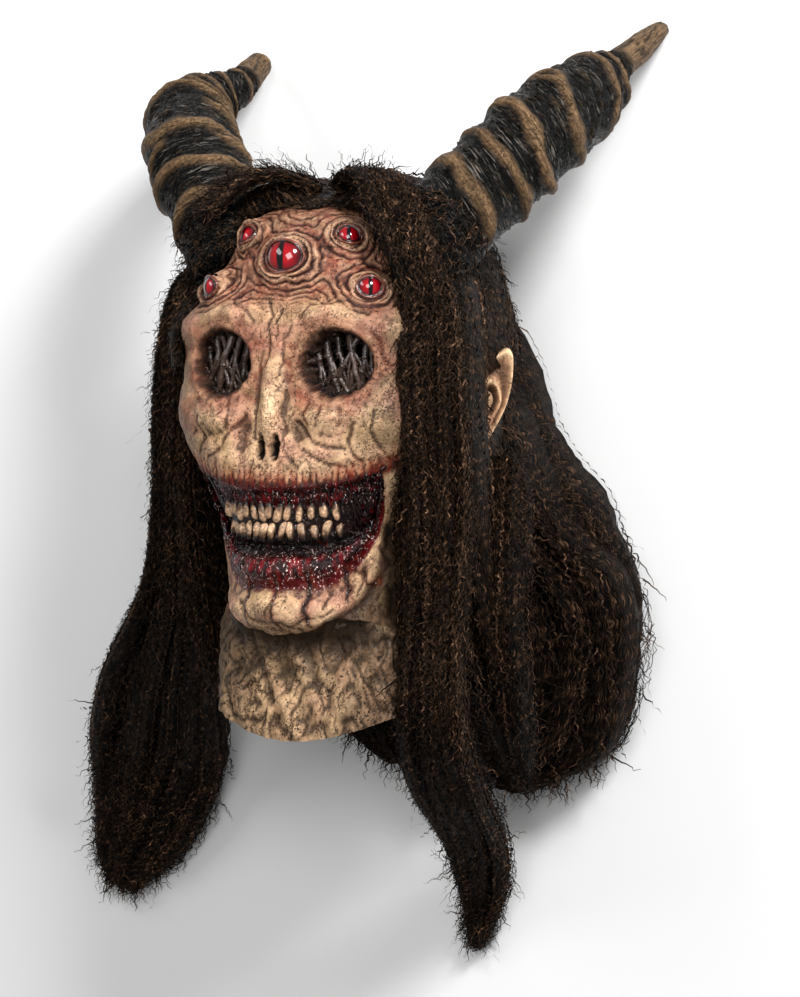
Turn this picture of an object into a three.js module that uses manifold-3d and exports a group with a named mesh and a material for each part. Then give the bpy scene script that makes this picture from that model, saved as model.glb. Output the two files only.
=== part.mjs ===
// A demon mask of cast latex with two ridged horns, five glass-like eyes and crimped hair.
// It lies on its back, face up. Millimetres. While it is built, the origin is midway between
// the ears, +X is the mask's left, +Y its crown and +Z the way it faces.

import * as THREE from "three";
import { mergeVertices } from "three/addons/utils/BufferGeometryUtils.js";
import Module from "manifold-3d";

const wasm = await Module();
wasm.setup();
const { Manifold } = wasm;

const TURN = 2 * Math.PI;
const NECK_TOP = -160; // rings below this are further apart
const NECK_STEP = 1.6;
const TOUCH_GAP = 0.35; // left between two pieces that touch
const FLOOR = -138; // height of the surface it lies on, below the ears' axis
const HALVINGS = 40; // of a search for a place on the head

// Small helpers

const clamp01 = (x) => Math.min(1, Math.max(0, x));
const mix = (a, b, t) => a + (b - a) * t;

function smoothStep(from, to, x) {
  const t = clamp01((x - from) / (to - from));
  return t * t * (3 - 2 * t);
}

// The row at s of a smooth (Catmull-Rom) path through the rows of a table.
function rowAt(table, s) {
  const last = table.length - 1;
  const i = Math.min(last - 1, Math.max(0, Math.floor(s)));
  const t = s - i;
  const before = table[Math.max(0, i - 1)];
  const start = table[i];
  const end = table[i + 1];
  const after = table[Math.min(last, i + 2)];
  return start.map((value, k) => {
    const slopeIn = (end[k] - before[k]) / 2;
    const slopeOut = (after[k] - value) / 2;
    const rise = end[k] - value;
    return (
      value +
      t * (slopeIn + t * (3 * rise - 2 * slopeIn - slopeOut + t * (slopeIn + slopeOut - 2 * rise)))
    );
  });
}

// A closed solid from rings of points that run round counter-clockwise seen from the end
// towards the start. A ring of one point is a tip.
function solidOfRings(rings) {
  const points = rings.flat();
  const triangles = [];
  const starts = [];
  let count = 0;
  for (const ring of rings) {
    starts.push(count);
    count += ring.length;
  }
  for (let r = 0; r + 1 < rings.length; r++) {
    const low = rings[r].length;
    const high = rings[r + 1].length;
    const around = Math.max(low, high);
    for (let i = 0; i < around; i++) {
      const next = (i + 1) % around;
      const a = starts[r] + (i % low);
      const b = starts[r] + (next % low);
      const c = starts[r + 1] + (next % high);
      const d = starts[r + 1] + (i % high);
      if (low > 1) triangles.push(a, b, c);
      if (high > 1) triangles.push(a, c, d);
    }
  }
  const cap = (start, length, turned) => {
    for (let i = 1; i + 1 < length; i++) {
      const [p, q] = turned ? [i + 1, i] : [i, i + 1];
      triangles.push(start, start + p, start + q);
    }
  };
  cap(starts[0], rings[0].length, true);
  cap(starts.at(-1), rings.at(-1).length, false);
  const made = new Manifold(
    new wasm.Mesh({
      numProp: 3,
      vertProperties: new Float32Array(points.flat()),
      triVerts: new Uint32Array(triangles),
    }),
  );
  if (made.volume() < 0) throw new Error("these rings run the wrong way round");
  return made;
}

// A three.js geometry as a solid.
function solidOfGeometry(geometry) {
  const plain = geometry.clone();
  plain.deleteAttribute("normal");
  plain.deleteAttribute("uv");
  const merged = mergeVertices(plain);
  return new Manifold(
    new wasm.Mesh({
      numProp: 3,
      vertProperties: new Float32Array(merged.attributes.position.array),
      triVerts: new Uint32Array(merged.index.array),
    }),
  );
}

function ball(centre, radii, detail) {
  const geometry = new THREE.IcosahedronGeometry(1, detail);
  return solidOfGeometry(geometry).scale(radii).translate(centre);
}

// A cut can leave loose slivers: this is the piece without them.
const withoutSlivers = (solid) =>
  solid.decompose().reduce((kept, body) => (body.volume() > kept.volume() ? body : kept));

const mirrored = (solid) => solid.mirror([1, 0, 0]);

// The head: rings stacked from the hem of the neck to the crown.
// Each row: height, half width, front, back, depth of its widest line, squareness in front.

const HEAD_ROWS = [
  [-222, 80, 90, -62, 15, 2.1],
  [-205, 79, 89, -61, 15, 2.1],
  [-186, 78, 88, -60, 15, 2.1],
  [-168, 79, 89, -60, 14, 2.1],
  [-157, 80, 96, -62, 13, 2.0],
  [-150, 80, 111, -65, 12, 1.8],
  [-141, 79, 117, -70, 11, 1.65],
  [-129, 75, 114, -76, 10, 1.6],
  [-118, 73, 118, -81, 9, 1.6],
  [-107, 74, 118, -86, 8, 1.65],
  [-97, 75, 117, -90, 7, 1.7],
  [-87, 76, 117, -93, 6, 1.8],
  [-77, 78, 118, -95, 5, 1.95],
  [-67, 81, 119, -97, 4, 2.1],
  [-55, 84, 118, -99, 3, 2.4],
  [-43, 87, 116, -100, 2, 2.8],
  [-30, 88, 113, -101, 1, 3.1],
  [-15, 88, 110, -102, 0, 3.3],
  [0, 88, 108, -102, 0, 3.4],
  [15, 88, 107, -102, 0, 3.4],
  [28, 87, 106, -101, 0, 3.3],
  [42, 84, 101, -96, 0, 2.8],
  [56, 79, 95, -91, 0, 2.2],
  [70, 75, 90, -85, 0, 2.0],
  [83, 69, 84, -76, 0, 2.0],
  [94, 59, 74, -65, -1, 2.0],
  [102, 43, 55, -49, -3, 2.0],
  [107, 22, 27, -32, -4, 2],
  [109, 0, -5, -5, -5, 2],
];

// Brushes push the surface near a place: [name, place, reach, push, flat share, on both sides]
const BRUSHES = [
  ["cheekbone", [72, -24, 82], [28, 24, 42], [2, 0, 5], 0, true],
  ["brow corner", [70, 28, 80], [24, 18, 40], [2, 1, 6], 0, true],
  ["temple", [84, 6, 66], [16, 10, 30], [-3, 0, -2], 0, true],
  ["cheek pillow", [40, -25, 104], [25, 14, 30], [0, 0, 6], 0, true],
  ["brow ridge", [38, 36, 102], [32, 12, 30], [0, 1, 6], 0, true],
  ["bridge", [0, -14, 112], [11, 40, 30], [0, 0, 9], 0, false],
  ["hollow beside the nose", [18, -38, 110], [11, 18, 30], [0, 0, -5], 0, true],
  ["socket", [39, 5.5, 106], [25, 23, 46], [0, 0, -27], 0.55, true],
  ["eyelids, centre", [0, 68, 92], [27, 21, 40], [0, 1, 9], 0.3, false],
  ["eyelids, upper", [35, 84, 74], [19, 14, 30], [2, 2, 6], 0.2, true],
  ["eyelids, lower", [55, 52, 80], [20, 14, 30], [6, 0, 8], 0.2, true],
  ["jaw notch", [62, -144, 52], [24, 20, 34], [-8, 0, -12], 0, true],
  ["chin", [0, -141, 106], [38, 15, 30], [0, 0, 5], 0, false],
];

function brushed(point, brushes) {
  let [x, y, z] = point;
  for (const [, place, reach, push, flat, both] of brushes) {
    const side = both && x < 0 ? -1 : 1;
    const away = Math.hypot(
      (x * side - place[0]) / reach[0],
      (y - place[1]) / reach[1],
      (z - place[2]) / reach[2],
    );
    const share = 1 - smoothStep(flat, 1, away);
    x += side * push[0] * share;
    y += push[1] * share;
    z += push[2] * share;
  }
  return [x, y, z];
}

// The mouth: a grin whose lower edge rises to the corners.
const MOUTH = { corner: 62, top: -67, rise: 9, bottom: -125, lift: 64, power: 4.6, wideOpen: 22 };
const mouthRise = (x) => MOUTH.rise * Math.abs(x / MOUTH.corner) ** 3;
const mouthTop = (x) => MOUTH.top + mouthRise(x);
const mouthBottom = (x) =>
  Math.min(mouthTop(x), MOUTH.bottom + MOUTH.lift * Math.abs(x / MOUTH.corner) ** MOUTH.power);

// How far the surface sinks inside the mouth, by share of the way down it: gum, teeth, gap, lip.
const MOUTH_DEPTH = [
  [0, 0],
  [0.1, 4.5],
  [0.22, 6],
  [0.42, 6.5],
  [0.55, 8],
  [0.63, 13],
  [0.7, 8],
  [0.78, 0.5],
  [0.88, -1.5],
  [0.96, 0],
  [1.04, 1.5],
  [1.12, 0],
];
function mouthDepth(x, y) {
  const open = mouthTop(x) - mouthBottom(x);
  if (open <= 0) return 0;
  const down = (mouthTop(x) - y) / open;
  const i = MOUTH_DEPTH.findIndex(([share]) => share > down);
  if (i < 1) return 0;
  const [a, b] = [MOUTH_DEPTH[i - 1], MOUTH_DEPTH[i]];
  const depth = mix(a[1], b[1], smoothStep(a[0], b[0], down));
  return depth * smoothStep(0, MOUTH.wideOpen, open);
}

// Brushes for the inside, where the outside is sunken, so that the wall keeps its thickness.
const INSIDE_BRUSHES = [
  ["behind the sockets", [39, 5.5, 103], [32, 30, 50], [0, 0, -27], 0.55, true],
  ["behind the mouth", [0, -96, 108], [62, 40, 50], [0, 0, -13], 0.6, false],
  ["behind the jaw notch", [60, -144, 48], [32, 30, 44], [-9, 0, -14], 0.3, true],
];

// The plain head at a place up HEAD_ROWS and an angle from the front, grown by some margin.
const BACK_SQUARE = 2.1;
const CROWN = { from: 60, to: 109 };
const HEM_RISE = { side: 26, back: 18, fades: -165 };
const NARROWEST = 0.5;
function plainHeadPoint(place, angle, grow) {
  const [height, width, front, back, middle, square] = rowAt(HEAD_ROWS, place);
  if (width < NARROWEST) return [0, height + grow, middle];
  const across = Math.abs(Math.sin(angle));
  const along = Math.cos(angle);
  const reach = along > 0 ? front - middle : middle - back;
  const power = along > 0 ? square : BACK_SQUARE;
  const radius =
    ((across / (width + grow)) ** power + (Math.abs(along) / (reach + grow)) ** power) **
    (-1 / power);
  const crownRise = grow * smoothStep(CROWN.from, CROWN.to, height);
  const hem = smoothStep(HEM_RISE.fades, HEAD_ROWS[0][0], height);
  const bib = HEM_RISE.side * across * across + (along < 0 ? HEM_RISE.back * along * along : 0);
  return [Math.sin(angle) * radius, height + crownRise + hem * bib, middle + along * radius];
}

function headPoint(place, angle, grow = 0) {
  const shaped = brushed(plainHeadPoint(place, angle, grow), BRUSHES);
  if (Math.cos(angle) > 0) shaped[2] -= mouthDepth(shaped[0], shaped[1]);
  return shaped;
}

// Angles round the head, closer together in front.
function headAngles(count, crowding) {
  return Array.from({ length: count }, (_, i) => {
    const t = (i / count) * 2 - 1;
    return Math.PI * t * mix(1, t * t, crowding);
  });
}

// Places along HEAD_ROWS about a step apart in height, from the hem to the crown.
function headPlaces(step) {
  const places = [];
  for (let i = 0; i + 1 < HEAD_ROWS.length; i++) {
    const rise = HEAD_ROWS[i + 1][0] - HEAD_ROWS[i][0];
    const coarse = HEAD_ROWS[i][0] < NECK_TOP ? NECK_STEP : 1;
    const count = Math.max(1, Math.round(rise / step / coarse));
    for (let k = 0; k < count; k++) places.push(i + k / count);
  }
  return places;
}

// A head-shaped solid: one ring for each place, closed at the crown and some way below the hem.
function headSolid({ columns, crowding, step, below }, pointAt) {
  const angles = headAngles(columns, crowding);
  const rings = headPlaces(step).map((place) => angles.map((angle) => pointAt(place, angle)));
  const hem = rings[0];
  const hemHeight = hem.reduce((sum, point) => sum + point[1], 0) / hem.length;
  if (below) rings.unshift(hem.map(([x, y, z]) => [x, y - below, z]));
  rings.unshift([[0, hemHeight - below, HEAD_ROWS[0][4]]]);
  rings.push([pointAt(HEAD_ROWS.length - 1, 0)]);
  return solidOfRings(rings);
}

const OUTSIDE = { columns: 42, crowding: 0.55, step: 8.5, below: 0 };
const INSIDE = { columns: 24, crowding: 0.4, step: 16, below: 60 };
const SCALP = { columns: 30, crowding: 0.4, step: 10, below: 3 };
const WALL = 3.5;
const outside = headSolid(OUTSIDE, (place, angle) => headPoint(place, angle));
const inside = headSolid(INSIDE, (place, angle) =>
  brushed(plainHeadPoint(place, angle, -WALL), INSIDE_BRUSHES),
);

// The place up HEAD_ROWS that has some height, and the outside's depth above (x, y) in front.
function placeOfHeight(height) {
  let [low, high] = [0, HEAD_ROWS.length - 1];
  for (let i = 0; i < HALVINGS; i++) {
    const half = (low + high) / 2;
    if (rowAt(HEAD_ROWS, half)[0] < height) low = half;
    else high = half;
  }
  return low;
}
function depthAt(x, y) {
  const place = placeOfHeight(y);
  let [low, high] = [0, Math.PI / 2];
  for (let i = 0; i < HALVINGS; i++) {
    const half = (low + high) / 2;
    if (headPoint(place, half)[0] < Math.abs(x)) low = half;
    else high = half;
  }
  return headPoint(place, low)[2];
}

// A tube with few sides through points, with a radius for each.
const STRAND_SIDEWAYS = [0.1, 0.2, 1]; // no strand runs this way
function strand(points, radii, sides) {
  const rings = points.map((point, i) => {
    const before = new THREE.Vector3(...points[Math.max(0, i - 1)]);
    const after = new THREE.Vector3(...points[Math.min(points.length - 1, i + 1)]);
    const along = after.sub(before).normalize();
    const aside = new THREE.Vector3(...STRAND_SIDEWAYS).cross(along).normalize();
    const up = along.clone().cross(aside);
    return Array.from({ length: sides }, (_, k) => {
      const turn = (-k / sides) * TURN;
      return new THREE.Vector3(...point)
        .addScaledVector(aside, Math.cos(turn) * radii[i])
        .addScaledVector(up, Math.sin(turn) * radii[i])
        .toArray();
    });
  });
  return solidOfRings(rings.reverse());
}

// Sockets: each is pierced at the bottom, and sinews cross it.
const SOCKET = { x: 39, y: 5.5, reach: 21, holeRadius: 12, holeSides: 12, holeFrom: 55, holeTo: 92 };
// Each sinew runs from one side of the socket to the other: two bearings in degrees, and how
// far its middle stands out.
const SINEWS = [
  [122, -78, 3],
  [62, -84, 1],
  [28, -60, -1],
  [160, -118, 3],
  [100, -30, 1],
];
const SINEW = { depth: 93, radii: [2.6, 1.6, 2.4], sides: 4 };
function socketSinews() {
  const onWall = (bearing) => {
    const turn = (bearing * Math.PI) / 180;
    return [
      SOCKET.x + SOCKET.reach * Math.cos(turn),
      SOCKET.y + SOCKET.reach * Math.sin(turn),
      SINEW.depth,
    ];
  };
  return SINEWS.map(([from, to, standsOut]) => {
    const [start, end] = [onWall(from), onWall(to)];
    const middle = start.map((value, k) => (value + end[k]) / 2);
    middle[2] += standsOut;
    return strand([start, middle, end], SINEW.radii, SINEW.sides);
  });
}
const socketHole = Manifold.cylinder(
  SOCKET.holeTo - SOCKET.holeFrom,
  SOCKET.holeRadius,
  SOCKET.holeRadius,
  SOCKET.holeSides,
).translate([SOCKET.x, SOCKET.y, SOCKET.holeFrom]);

// Nostrils: two upright slits.
const NOSTRIL = { x: 4.7, y: -44, radii: [2.3, 8, 11] };
const nostril = ball([NOSTRIL.x, NOSTRIL.y, depthAt(NOSTRIL.x, NOSTRIL.y)], NOSTRIL.radii, 0);

// Teeth: two rows of small pegs that follow the gum.
const TEETH = { pitch: 6.2, pairs: 6.5, gap: 0.7, thick: 2.6, bedDepth: 0.6, sides: 4 };
const TOOTH_ROWS = [
  { root: -78.5, tip: -88.4, rootWidth: 0.72 },
  { root: -98.6, tip: -89, rootWidth: 0.8 },
];
function tooth(x, { root, tip, rootWidth }, rise) {
  const half = (TEETH.pitch - TEETH.gap) / 2;
  const z = depthAt(x, (root + tip) / 2 + rise) - TEETH.bedDepth;
  const ring = (height, share) =>
    Array.from({ length: TEETH.sides }, (_, k) => {
      const turn = ((k + 0.5) / TEETH.sides) * TURN;
      const [side, out] = [Math.sin(turn) * half * share, Math.cos(turn) * TEETH.thick];
      return [x + side, height + rise, z + out];
    });
  const rings = [ring(root, rootWidth), ring(tip, 1)];
  return solidOfRings(root < tip ? rings : rings.reverse());
}
function allTeeth() {
  const teeth = [];
  for (let i = 0; i < 2 * TEETH.pairs; i++) {
    const x = (i + 0.5 - TEETH.pairs) * TEETH.pitch;
    for (const row of TOOTH_ROWS) teeth.push(tooth(x, row, mouthRise(x)));
  }
  return teeth;
}

// Ears: a pointed leaf with a hollow front, set on edge against the side of the head.
const EAR = { thick: 4, bevel: 1, curveParts: 3, foot: [83, -16, 2], turn: 41, lean: -7 };
const EAR_HOLLOW = { x: 8, y: -2, outBy: 2.5, radii: [9, 20, 4.5] };
function earSolid() {
  const leaf = new THREE.Shape();
  leaf.moveTo(-6, -20);
  leaf.quadraticCurveTo(-2, -32, 6, -30);
  leaf.quadraticCurveTo(13, -22, 18, -6);
  leaf.quadraticCurveTo(23, 12, 20, 30);
  leaf.quadraticCurveTo(10, 26, -6, 16);
  const plate = new THREE.ExtrudeGeometry(leaf, {
    depth: EAR.thick,
    curveSegments: EAR.curveParts,
    bevelThickness: EAR.bevel,
    bevelSize: EAR.bevel,
    bevelOffset: -EAR.bevel,
    bevelSegments: 1,
  });
  const hollowCentre = [EAR_HOLLOW.x, EAR_HOLLOW.y, EAR.thick + EAR_HOLLOW.outBy];
  return solidOfGeometry(plate)
    .subtract(ball(hollowCentre, EAR_HOLLOW.radii, 0))
    .rotate([0, EAR.turn, EAR.lean])
    .translate(EAR.foot);
}
const leftEar = earSolid();
const ears = leftEar.add(mirrored(leftEar));

// Eyes: glossy domes let into raised lids. Each: name, x, y, where it looks, half width, height.
const EYES = [
  ["eye_centre", 0, 67.5, [0, 0.12, 1], 11.5, 8],
  ["eye_upper_left", 35.5, 84, [0.42, 0.4, 0.82], 6.6, 4.8],
  ["eye_upper_right", -35.5, 84, [-0.42, 0.4, 0.82], 6.6, 4.8],
  ["eye_lower_left", 55.5, 51.5, [0.56, 0.08, 0.82], 6.9, 5],
  ["eye_lower_right", -55.5, 51.5, [-0.56, 0.08, 0.82], 6.9, 5],
];
const EYE_STANDS_OUT = 1.8;
const EYE_DETAIL = { large: 2, small: 1, largeFrom: 10 };
function eyeDome([, x, y, gaze, half, high], grow) {
  const look = new THREE.Vector3(...gaze).normalize();
  const radius = (half * half + high * high) / (2 * high);
  const top = new THREE.Vector3(x, y, depthAt(x, y)).addScaledVector(look, EYE_STANDS_OUT);
  const centre = top.clone().addScaledVector(look, -radius);
  const base = look.dot(top) - high - grow;
  const detail = half > EYE_DETAIL.largeFrom ? EYE_DETAIL.large : EYE_DETAIL.small;
  return ball(centre.toArray(), Array(3).fill(radius + grow), detail).trimByPlane(
    look.toArray(),
    base,
  );
}

// Flat areas need fewer triangles than the carving; this is how far the surface may move.
const SIMPLER_BY = 1;
const shell = outside
  .add(ears)
  .subtract(inside)
  .subtract(socketHole)
  .subtract(mirrored(socketHole))
  .subtract(nostril)
  .subtract(mirrored(nostril))
  .simplify(SIMPLER_BY);
const inSockets = Manifold.union(socketSinews());
const skin = shell
  .add(Manifold.union([...allTeeth(), inSockets, mirrored(inSockets)]))
  .subtract(Manifold.union(EYES.map((eye) => eyeDome(eye, TOUCH_GAP))));

// What neighbours are cut by, so that they stop a little short of the skin.
const SCALP_GAP = 3.8;
const EAR_CLEARANCE = 1.02; // the ears are scaled by this
const clearOfHead = headSolid(SCALP, (place, angle) => headPoint(place, angle, SCALP_GAP)).add(
  ears.scale(EAR_CLEARANCE),
);

// A solid swept along a table of rows: x, y, z, half width, half thickness and the bearing of
// its width about the sweep. The section is an ellipse that shape(angle, share along) scales.
const LOOK_AHEAD = 0.01; // share of the sweep over which its direction is taken
function sweep(rows, { stations, sides }, grow, shape) {
  const last = rows.length - 1;
  const placeOf = (share) => new THREE.Vector3(...rowAt(rows, share * last));
  const rings = [];
  for (let i = 0; i <= stations; i++) {
    const share = i / stations;
    const [x, y, z, width, thick, bearing] = rowAt(rows, share * last);
    const ahead = placeOf(Math.min(1, share + LOOK_AHEAD));
    const behind = placeOf(Math.max(0, share - LOOK_AHEAD));
    const along = ahead.sub(behind).normalize();
    const level = new THREE.Vector3(Math.cos(bearing), 0, -Math.sin(bearing));
    const out = along.clone().cross(level).normalize();
    const aside = out.clone().cross(along);
    rings.push(
      Array.from({ length: sides }, (_, k) => {
        const angle = (k / sides) * TURN;
        const scale = shape(angle, share);
        return new THREE.Vector3(x, y, z)
          .addScaledVector(aside, Math.cos(angle) * (width * scale + grow))
          .addScaledVector(out, Math.sin(angle) * (thick * scale + grow))
          .toArray();
      }),
    );
  }
  return solidOfRings(rings);
}

// Horns: each rises outwards, curls back and ends in a plain point beyond the last ridge.
// Rows as in a sweep. The two were cast apart, and the right one curls in a little more.
const HORNS = {
  horn_left: [
    [60, 66, 46, 28, 28, 0],
    [89, 101, 29, 30, 30, 0],
    [106, 124, 12, 30, 30, 0],
    [118, 143, -8, 30, 30, 0],
    [130, 162, -35, 27, 27, 0],
    [137, 178, -61, 20, 20, 0],
    [141, 188, -77, 10.5, 10.5, 0],
    [145, 202, -106, 7.5, 7.5, 0],
    [148, 215, -132, 2.5, 2.5, 0],
  ],
  horn_right: [
    [-58, 62, 46, 28, 28, 0],
    [-80, 92, 29, 30, 30, 0],
    [-102, 116, 12, 30, 30, 0],
    [-125, 142, -10, 29, 29, 0],
    [-140, 160, -38, 26, 26, 0],
    [-142, 171, -64, 20, 20, 0],
    [-136, 180, -84, 13, 13, 0],
    [-135, 188, -100, 8, 8, 0],
    [-137, 200, -124, 3, 3, 0],
  ],
};
const HORN_GRID = { stations: 34, sides: 10 };
const RIDGES = { count: 9, slant: 0.3, turned: 0.6, crest: 0.1, groove: 0.06 };
const RIDGED = { from: 0.08, fully: 0.12, until: 0.7, to: 0.74 };
function hornShape(angle, share) {
  const phase = RIDGES.count * share + RIDGES.slant * Math.sin(angle + RIDGES.turned);
  const crest = (0.5 + 0.5 * Math.cos(TURN * phase)) ** 2;
  const starts = smoothStep(RIDGED.from, RIDGED.fully, share);
  const ends = 1 - smoothStep(RIDGED.until, RIDGED.to, share);
  return 1 + starts * ends * mix(-RIDGES.groove, RIDGES.crest, crest);
}
const hornSolid = (rows, grow) => sweep(rows, HORN_GRID, grow, hornShape);
const hornsGrown = Manifold.union(Object.values(HORNS).map((rows) => hornSolid(rows, TOUCH_GAP)));

// Hair. Each piece is one mass with the grooves between its crimped strands, which wind a
// little round it and start some way along.
const GROOVES = { wind: 5, start: 0.15 };
const grooved = (count, depth) => (angle, share) =>
  1 + depth * Math.cos(count * angle + GROOVES.wind * share) * smoothStep(0, GROOVES.start, share);

// The cap of hair over the crown: a parting dips between two swells, and the face is bare.
const CAP = { thick: 8, top: 3, fromRow: 19, columns: 28, crowding: 0.2 };
const SWELL = { high: 13, x: 40, width: 26, from: 70, to: 100 };
const FRINGE = { thick: 6, from: 0, to: 60 };
const WAVES = { high: 1.5, count: 14, from: 104, to: 80 };
const LIFTED = { from: 40, to: 105 }; // heights between which the cap rises off the crown
const SPREAD = { from: 109, to: 90 }; // and between which it stands out from its sides
function capPoint(place, angle, grow) {
  const [x, y, z] = plainHeadPoint(place, angle, 0);
  const radius = Math.hypot(x, z) || 1;
  const nearSwell = Math.exp(-(((Math.abs(x) - SWELL.x) / SWELL.width) ** 2));
  const swell = SWELL.high * nearSwell * smoothStep(SWELL.from, SWELL.to, y);
  const fringe = FRINGE.thick * smoothStep(FRINGE.from, FRINGE.to, z);
  const waves = WAVES.high * Math.cos(WAVES.count * angle) * smoothStep(WAVES.from, WAVES.to, y);
  const spread = smoothStep(SPREAD.from, SPREAD.to, y);
  const out = (CAP.thick + grow + fringe + waves) * spread;
  const up = (CAP.top + swell + grow) * smoothStep(LIFTED.from, LIFTED.to, y);
  return [x + (x / radius) * out, y + up, z + (z / radius) * out];
}
// The bare face, half of its outline from the middle of the hairline down: x, y.
const HAIRLINE = [
  [0, 99],
  [14, 101],
  [32, 98],
  [47, 90],
  [59, 72],
  [66, 52],
  [73, 28],
  [78, 0],
  [79, -60],
];
const BARE = { from: 22, deep: 160 }; // the face is bare from this depth forward
const otherHalf = HAIRLINE.slice(1).map(([x, y]) => [-x, y]);
const bareFace = Manifold.extrude(
  [[...otherHalf, ...HAIRLINE.toReversed()]],
  BARE.deep,
).translate([0, 0, BARE.from]);
function capSolid(grow) {
  const angles = headAngles(CAP.columns, CAP.crowding);
  const last = HEAD_ROWS.length - 1;
  const rings = [];
  for (let place = CAP.fromRow; place < last; place++)
    rings.push(angles.map((angle) => capPoint(place, angle, grow)));
  rings[0] = rings[0].map(([x, y, z]) => [x, y - 2 * grow, z]);
  rings.unshift([[0, rings[0][0][1], 0]]);
  rings.push([capPoint(last, 0, grow)]);
  return solidOfRings(rings).subtract(bareFace);
}

// The fall behind: x, y, z, half width, half thickness. It lies flat on its back.
const FALL_ROWS = [
  [0, 30, -66, 58, 50, 0],
  [0, -13, -79, 80, 60, 0],
  [0, -50, -84, 97, 58, 0],
  [2, -88, -92, 111, 51, 0],
  [8, -127, -99, 121, 44, 0],
  [16, -168, -104, 140, 38, 0],
  [18, -205, -110, 128, 32, 0],
  [12, -240, -116, 92, 26, 0],
  [8, -262, -122, 56, 18, 0],
];
const FALL_GRID = { stations: 9, sides: 22 };
const FALL_GROOVES = grooved(11, 0.03);
const fallSolid = (grow) =>
  sweep(FALL_ROWS, FALL_GRID, grow, FALL_GROOVES).trimByPlane([0, 0, 1], FLOOR);

// The locks in front: x, y, z, half width, half thickness, bearing of the width.
const LOCKS = {
  hair_lock_right_front: [
    [-86, 66, 44, 9, 10, 0],
    [-98, 34, 40, 14, 14, 0],
    [-108, -20, 30, 18, 16, 0],
    [-113, -80, 18, 22, 17, 0],
    [-124, -142, 0, 29, 18, 0],
    [-168, -204, -50, 40, 18, 0],
    [-207, -262, -104, 47, 17, 0],
    [-226, -302, -121, 40, 14, 0],
    [-246, -335, -128, 22, 9, 0],
    [-254, -356, -132, 7, 5, 0],
  ],
  hair_lock_left_front: [
    [78, 66, 62, 14, 12, 0.5],
    [84, 30, 70, 19, 13, 0.5],
    [88, -20, 74, 21, 14, 0.5],
    [87, -83, 66, 22, 14, 0.5],
    [81, -147, 57, 20, 13, 0.4],
    [78, -206, 53, 20, 12, 0.3],
    [64, -252, 4, 24, 12, 0.1],
    [46, -296, -70, 23, 12, 0],
    [28, -340, -118, 16, 10, 0],
    [18, -378, -132, 5, 5, 0],
  ],
  hair_lock_left_side: [
    [92, -52, -26, 10, 10, 0],
    [99, -85, -6, 15, 13, 0],
    [101, -118, 6, 18, 13, 0],
    [99, -160, 8, 19, 13, 0],
    [96, -206, -14, 17, 12, 0],
    [84, -240, -54, 11, 9, 0],
    [76, -264, -84, 4, 4, 0],
  ],
};
const LOCK_GRID = { stations: 15, sides: 10 };
const LOCK_GROOVES = grooved(5, 0.07);
const lockSolid = (rows, grow) =>
  sweep(rows, LOCK_GRID, grow, LOCK_GROOVES).trimByPlane([0, 0, 1], FLOOR);

// What hair is cut by, in turn: the head, the horns, the cap over them, and the fall behind.
const HAIR_GAP = SIMPLER_BY + TOUCH_GAP;
const capGrown = capSolid(HAIR_GAP).add(hornsGrown);
const behindLocks = capGrown.add(fallSolid(HAIR_GAP));
const againstHead = (hair) => hair.subtract(clearOfHead).simplify(SIMPLER_BY);

const LOOKS = {
  latex: { color: 0xb79a7c, roughness: 0.55, metalness: 0 },
  horn: { color: 0x5a4433, roughness: 0.4, metalness: 0 },
  eye: { color: 0xa80c12, roughness: 0.05, metalness: 0 },
  hair: { color: 0x1c1410, roughness: 0.6, metalness: 0 },
};

const pieces = [];
function addPiece(name, look, solid) {
  const mesh = withoutSlivers(solid).getMesh();
  const geometry = new THREE.BufferGeometry();
  const corners = new Float32Array(mesh.vertProperties);
  geometry.setAttribute("position", new THREE.BufferAttribute(corners, 3));
  geometry.setIndex(new THREE.BufferAttribute(new Uint32Array(mesh.triVerts), 1));
  geometry.computeVertexNormals();
  const piece = new THREE.Mesh(geometry, new THREE.MeshStandardMaterial(LOOKS[look]));
  piece.name = name;
  pieces.push(piece);
}

addPiece("mask_skin", "latex", skin);
for (const eye of EYES) addPiece(eye[0], "eye", eyeDome(eye, 0));
for (const [name, rows] of Object.entries(HORNS))
  addPiece(name, "horn", hornSolid(rows, 0).subtract(clearOfHead));
addPiece("hair_crown", "hair", againstHead(capSolid(0)).subtract(hornsGrown));
addPiece("hair_fall_back", "hair", againstHead(fallSolid(0)).subtract(capGrown));
for (const [name, rows] of Object.entries(LOCKS))
  addPiece(name, "hair", againstHead(lockSolid(rows, 0)).subtract(behindLocks));

// The origin of the finished part is under the middle of its box.
const group = new THREE.Group();
group.name = "demon_mask";
group.add(...pieces);
const box = new THREE.Box3().setFromObject(group, true);
const middle = box.getCenter(new THREE.Vector3());
group.position.set(-middle.x, -middle.y, -box.min.z);

export default group;
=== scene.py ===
"""A demon mask of cast latex with two ridged horns, five glassy eyes and crimped hair, lying on its back.

Lengths are in millimetres in the frame the part was built in: the origin midway between the ears,
+X the mask's left, +Y its crown, +Z the way it faces. place() turns them into the row frame, in metres.
"""

import math
from types import SimpleNamespace

import bpy
import numpy as np
from mathutils import Matrix, Vector
from mathutils.bvhtree import BVHTree


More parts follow.
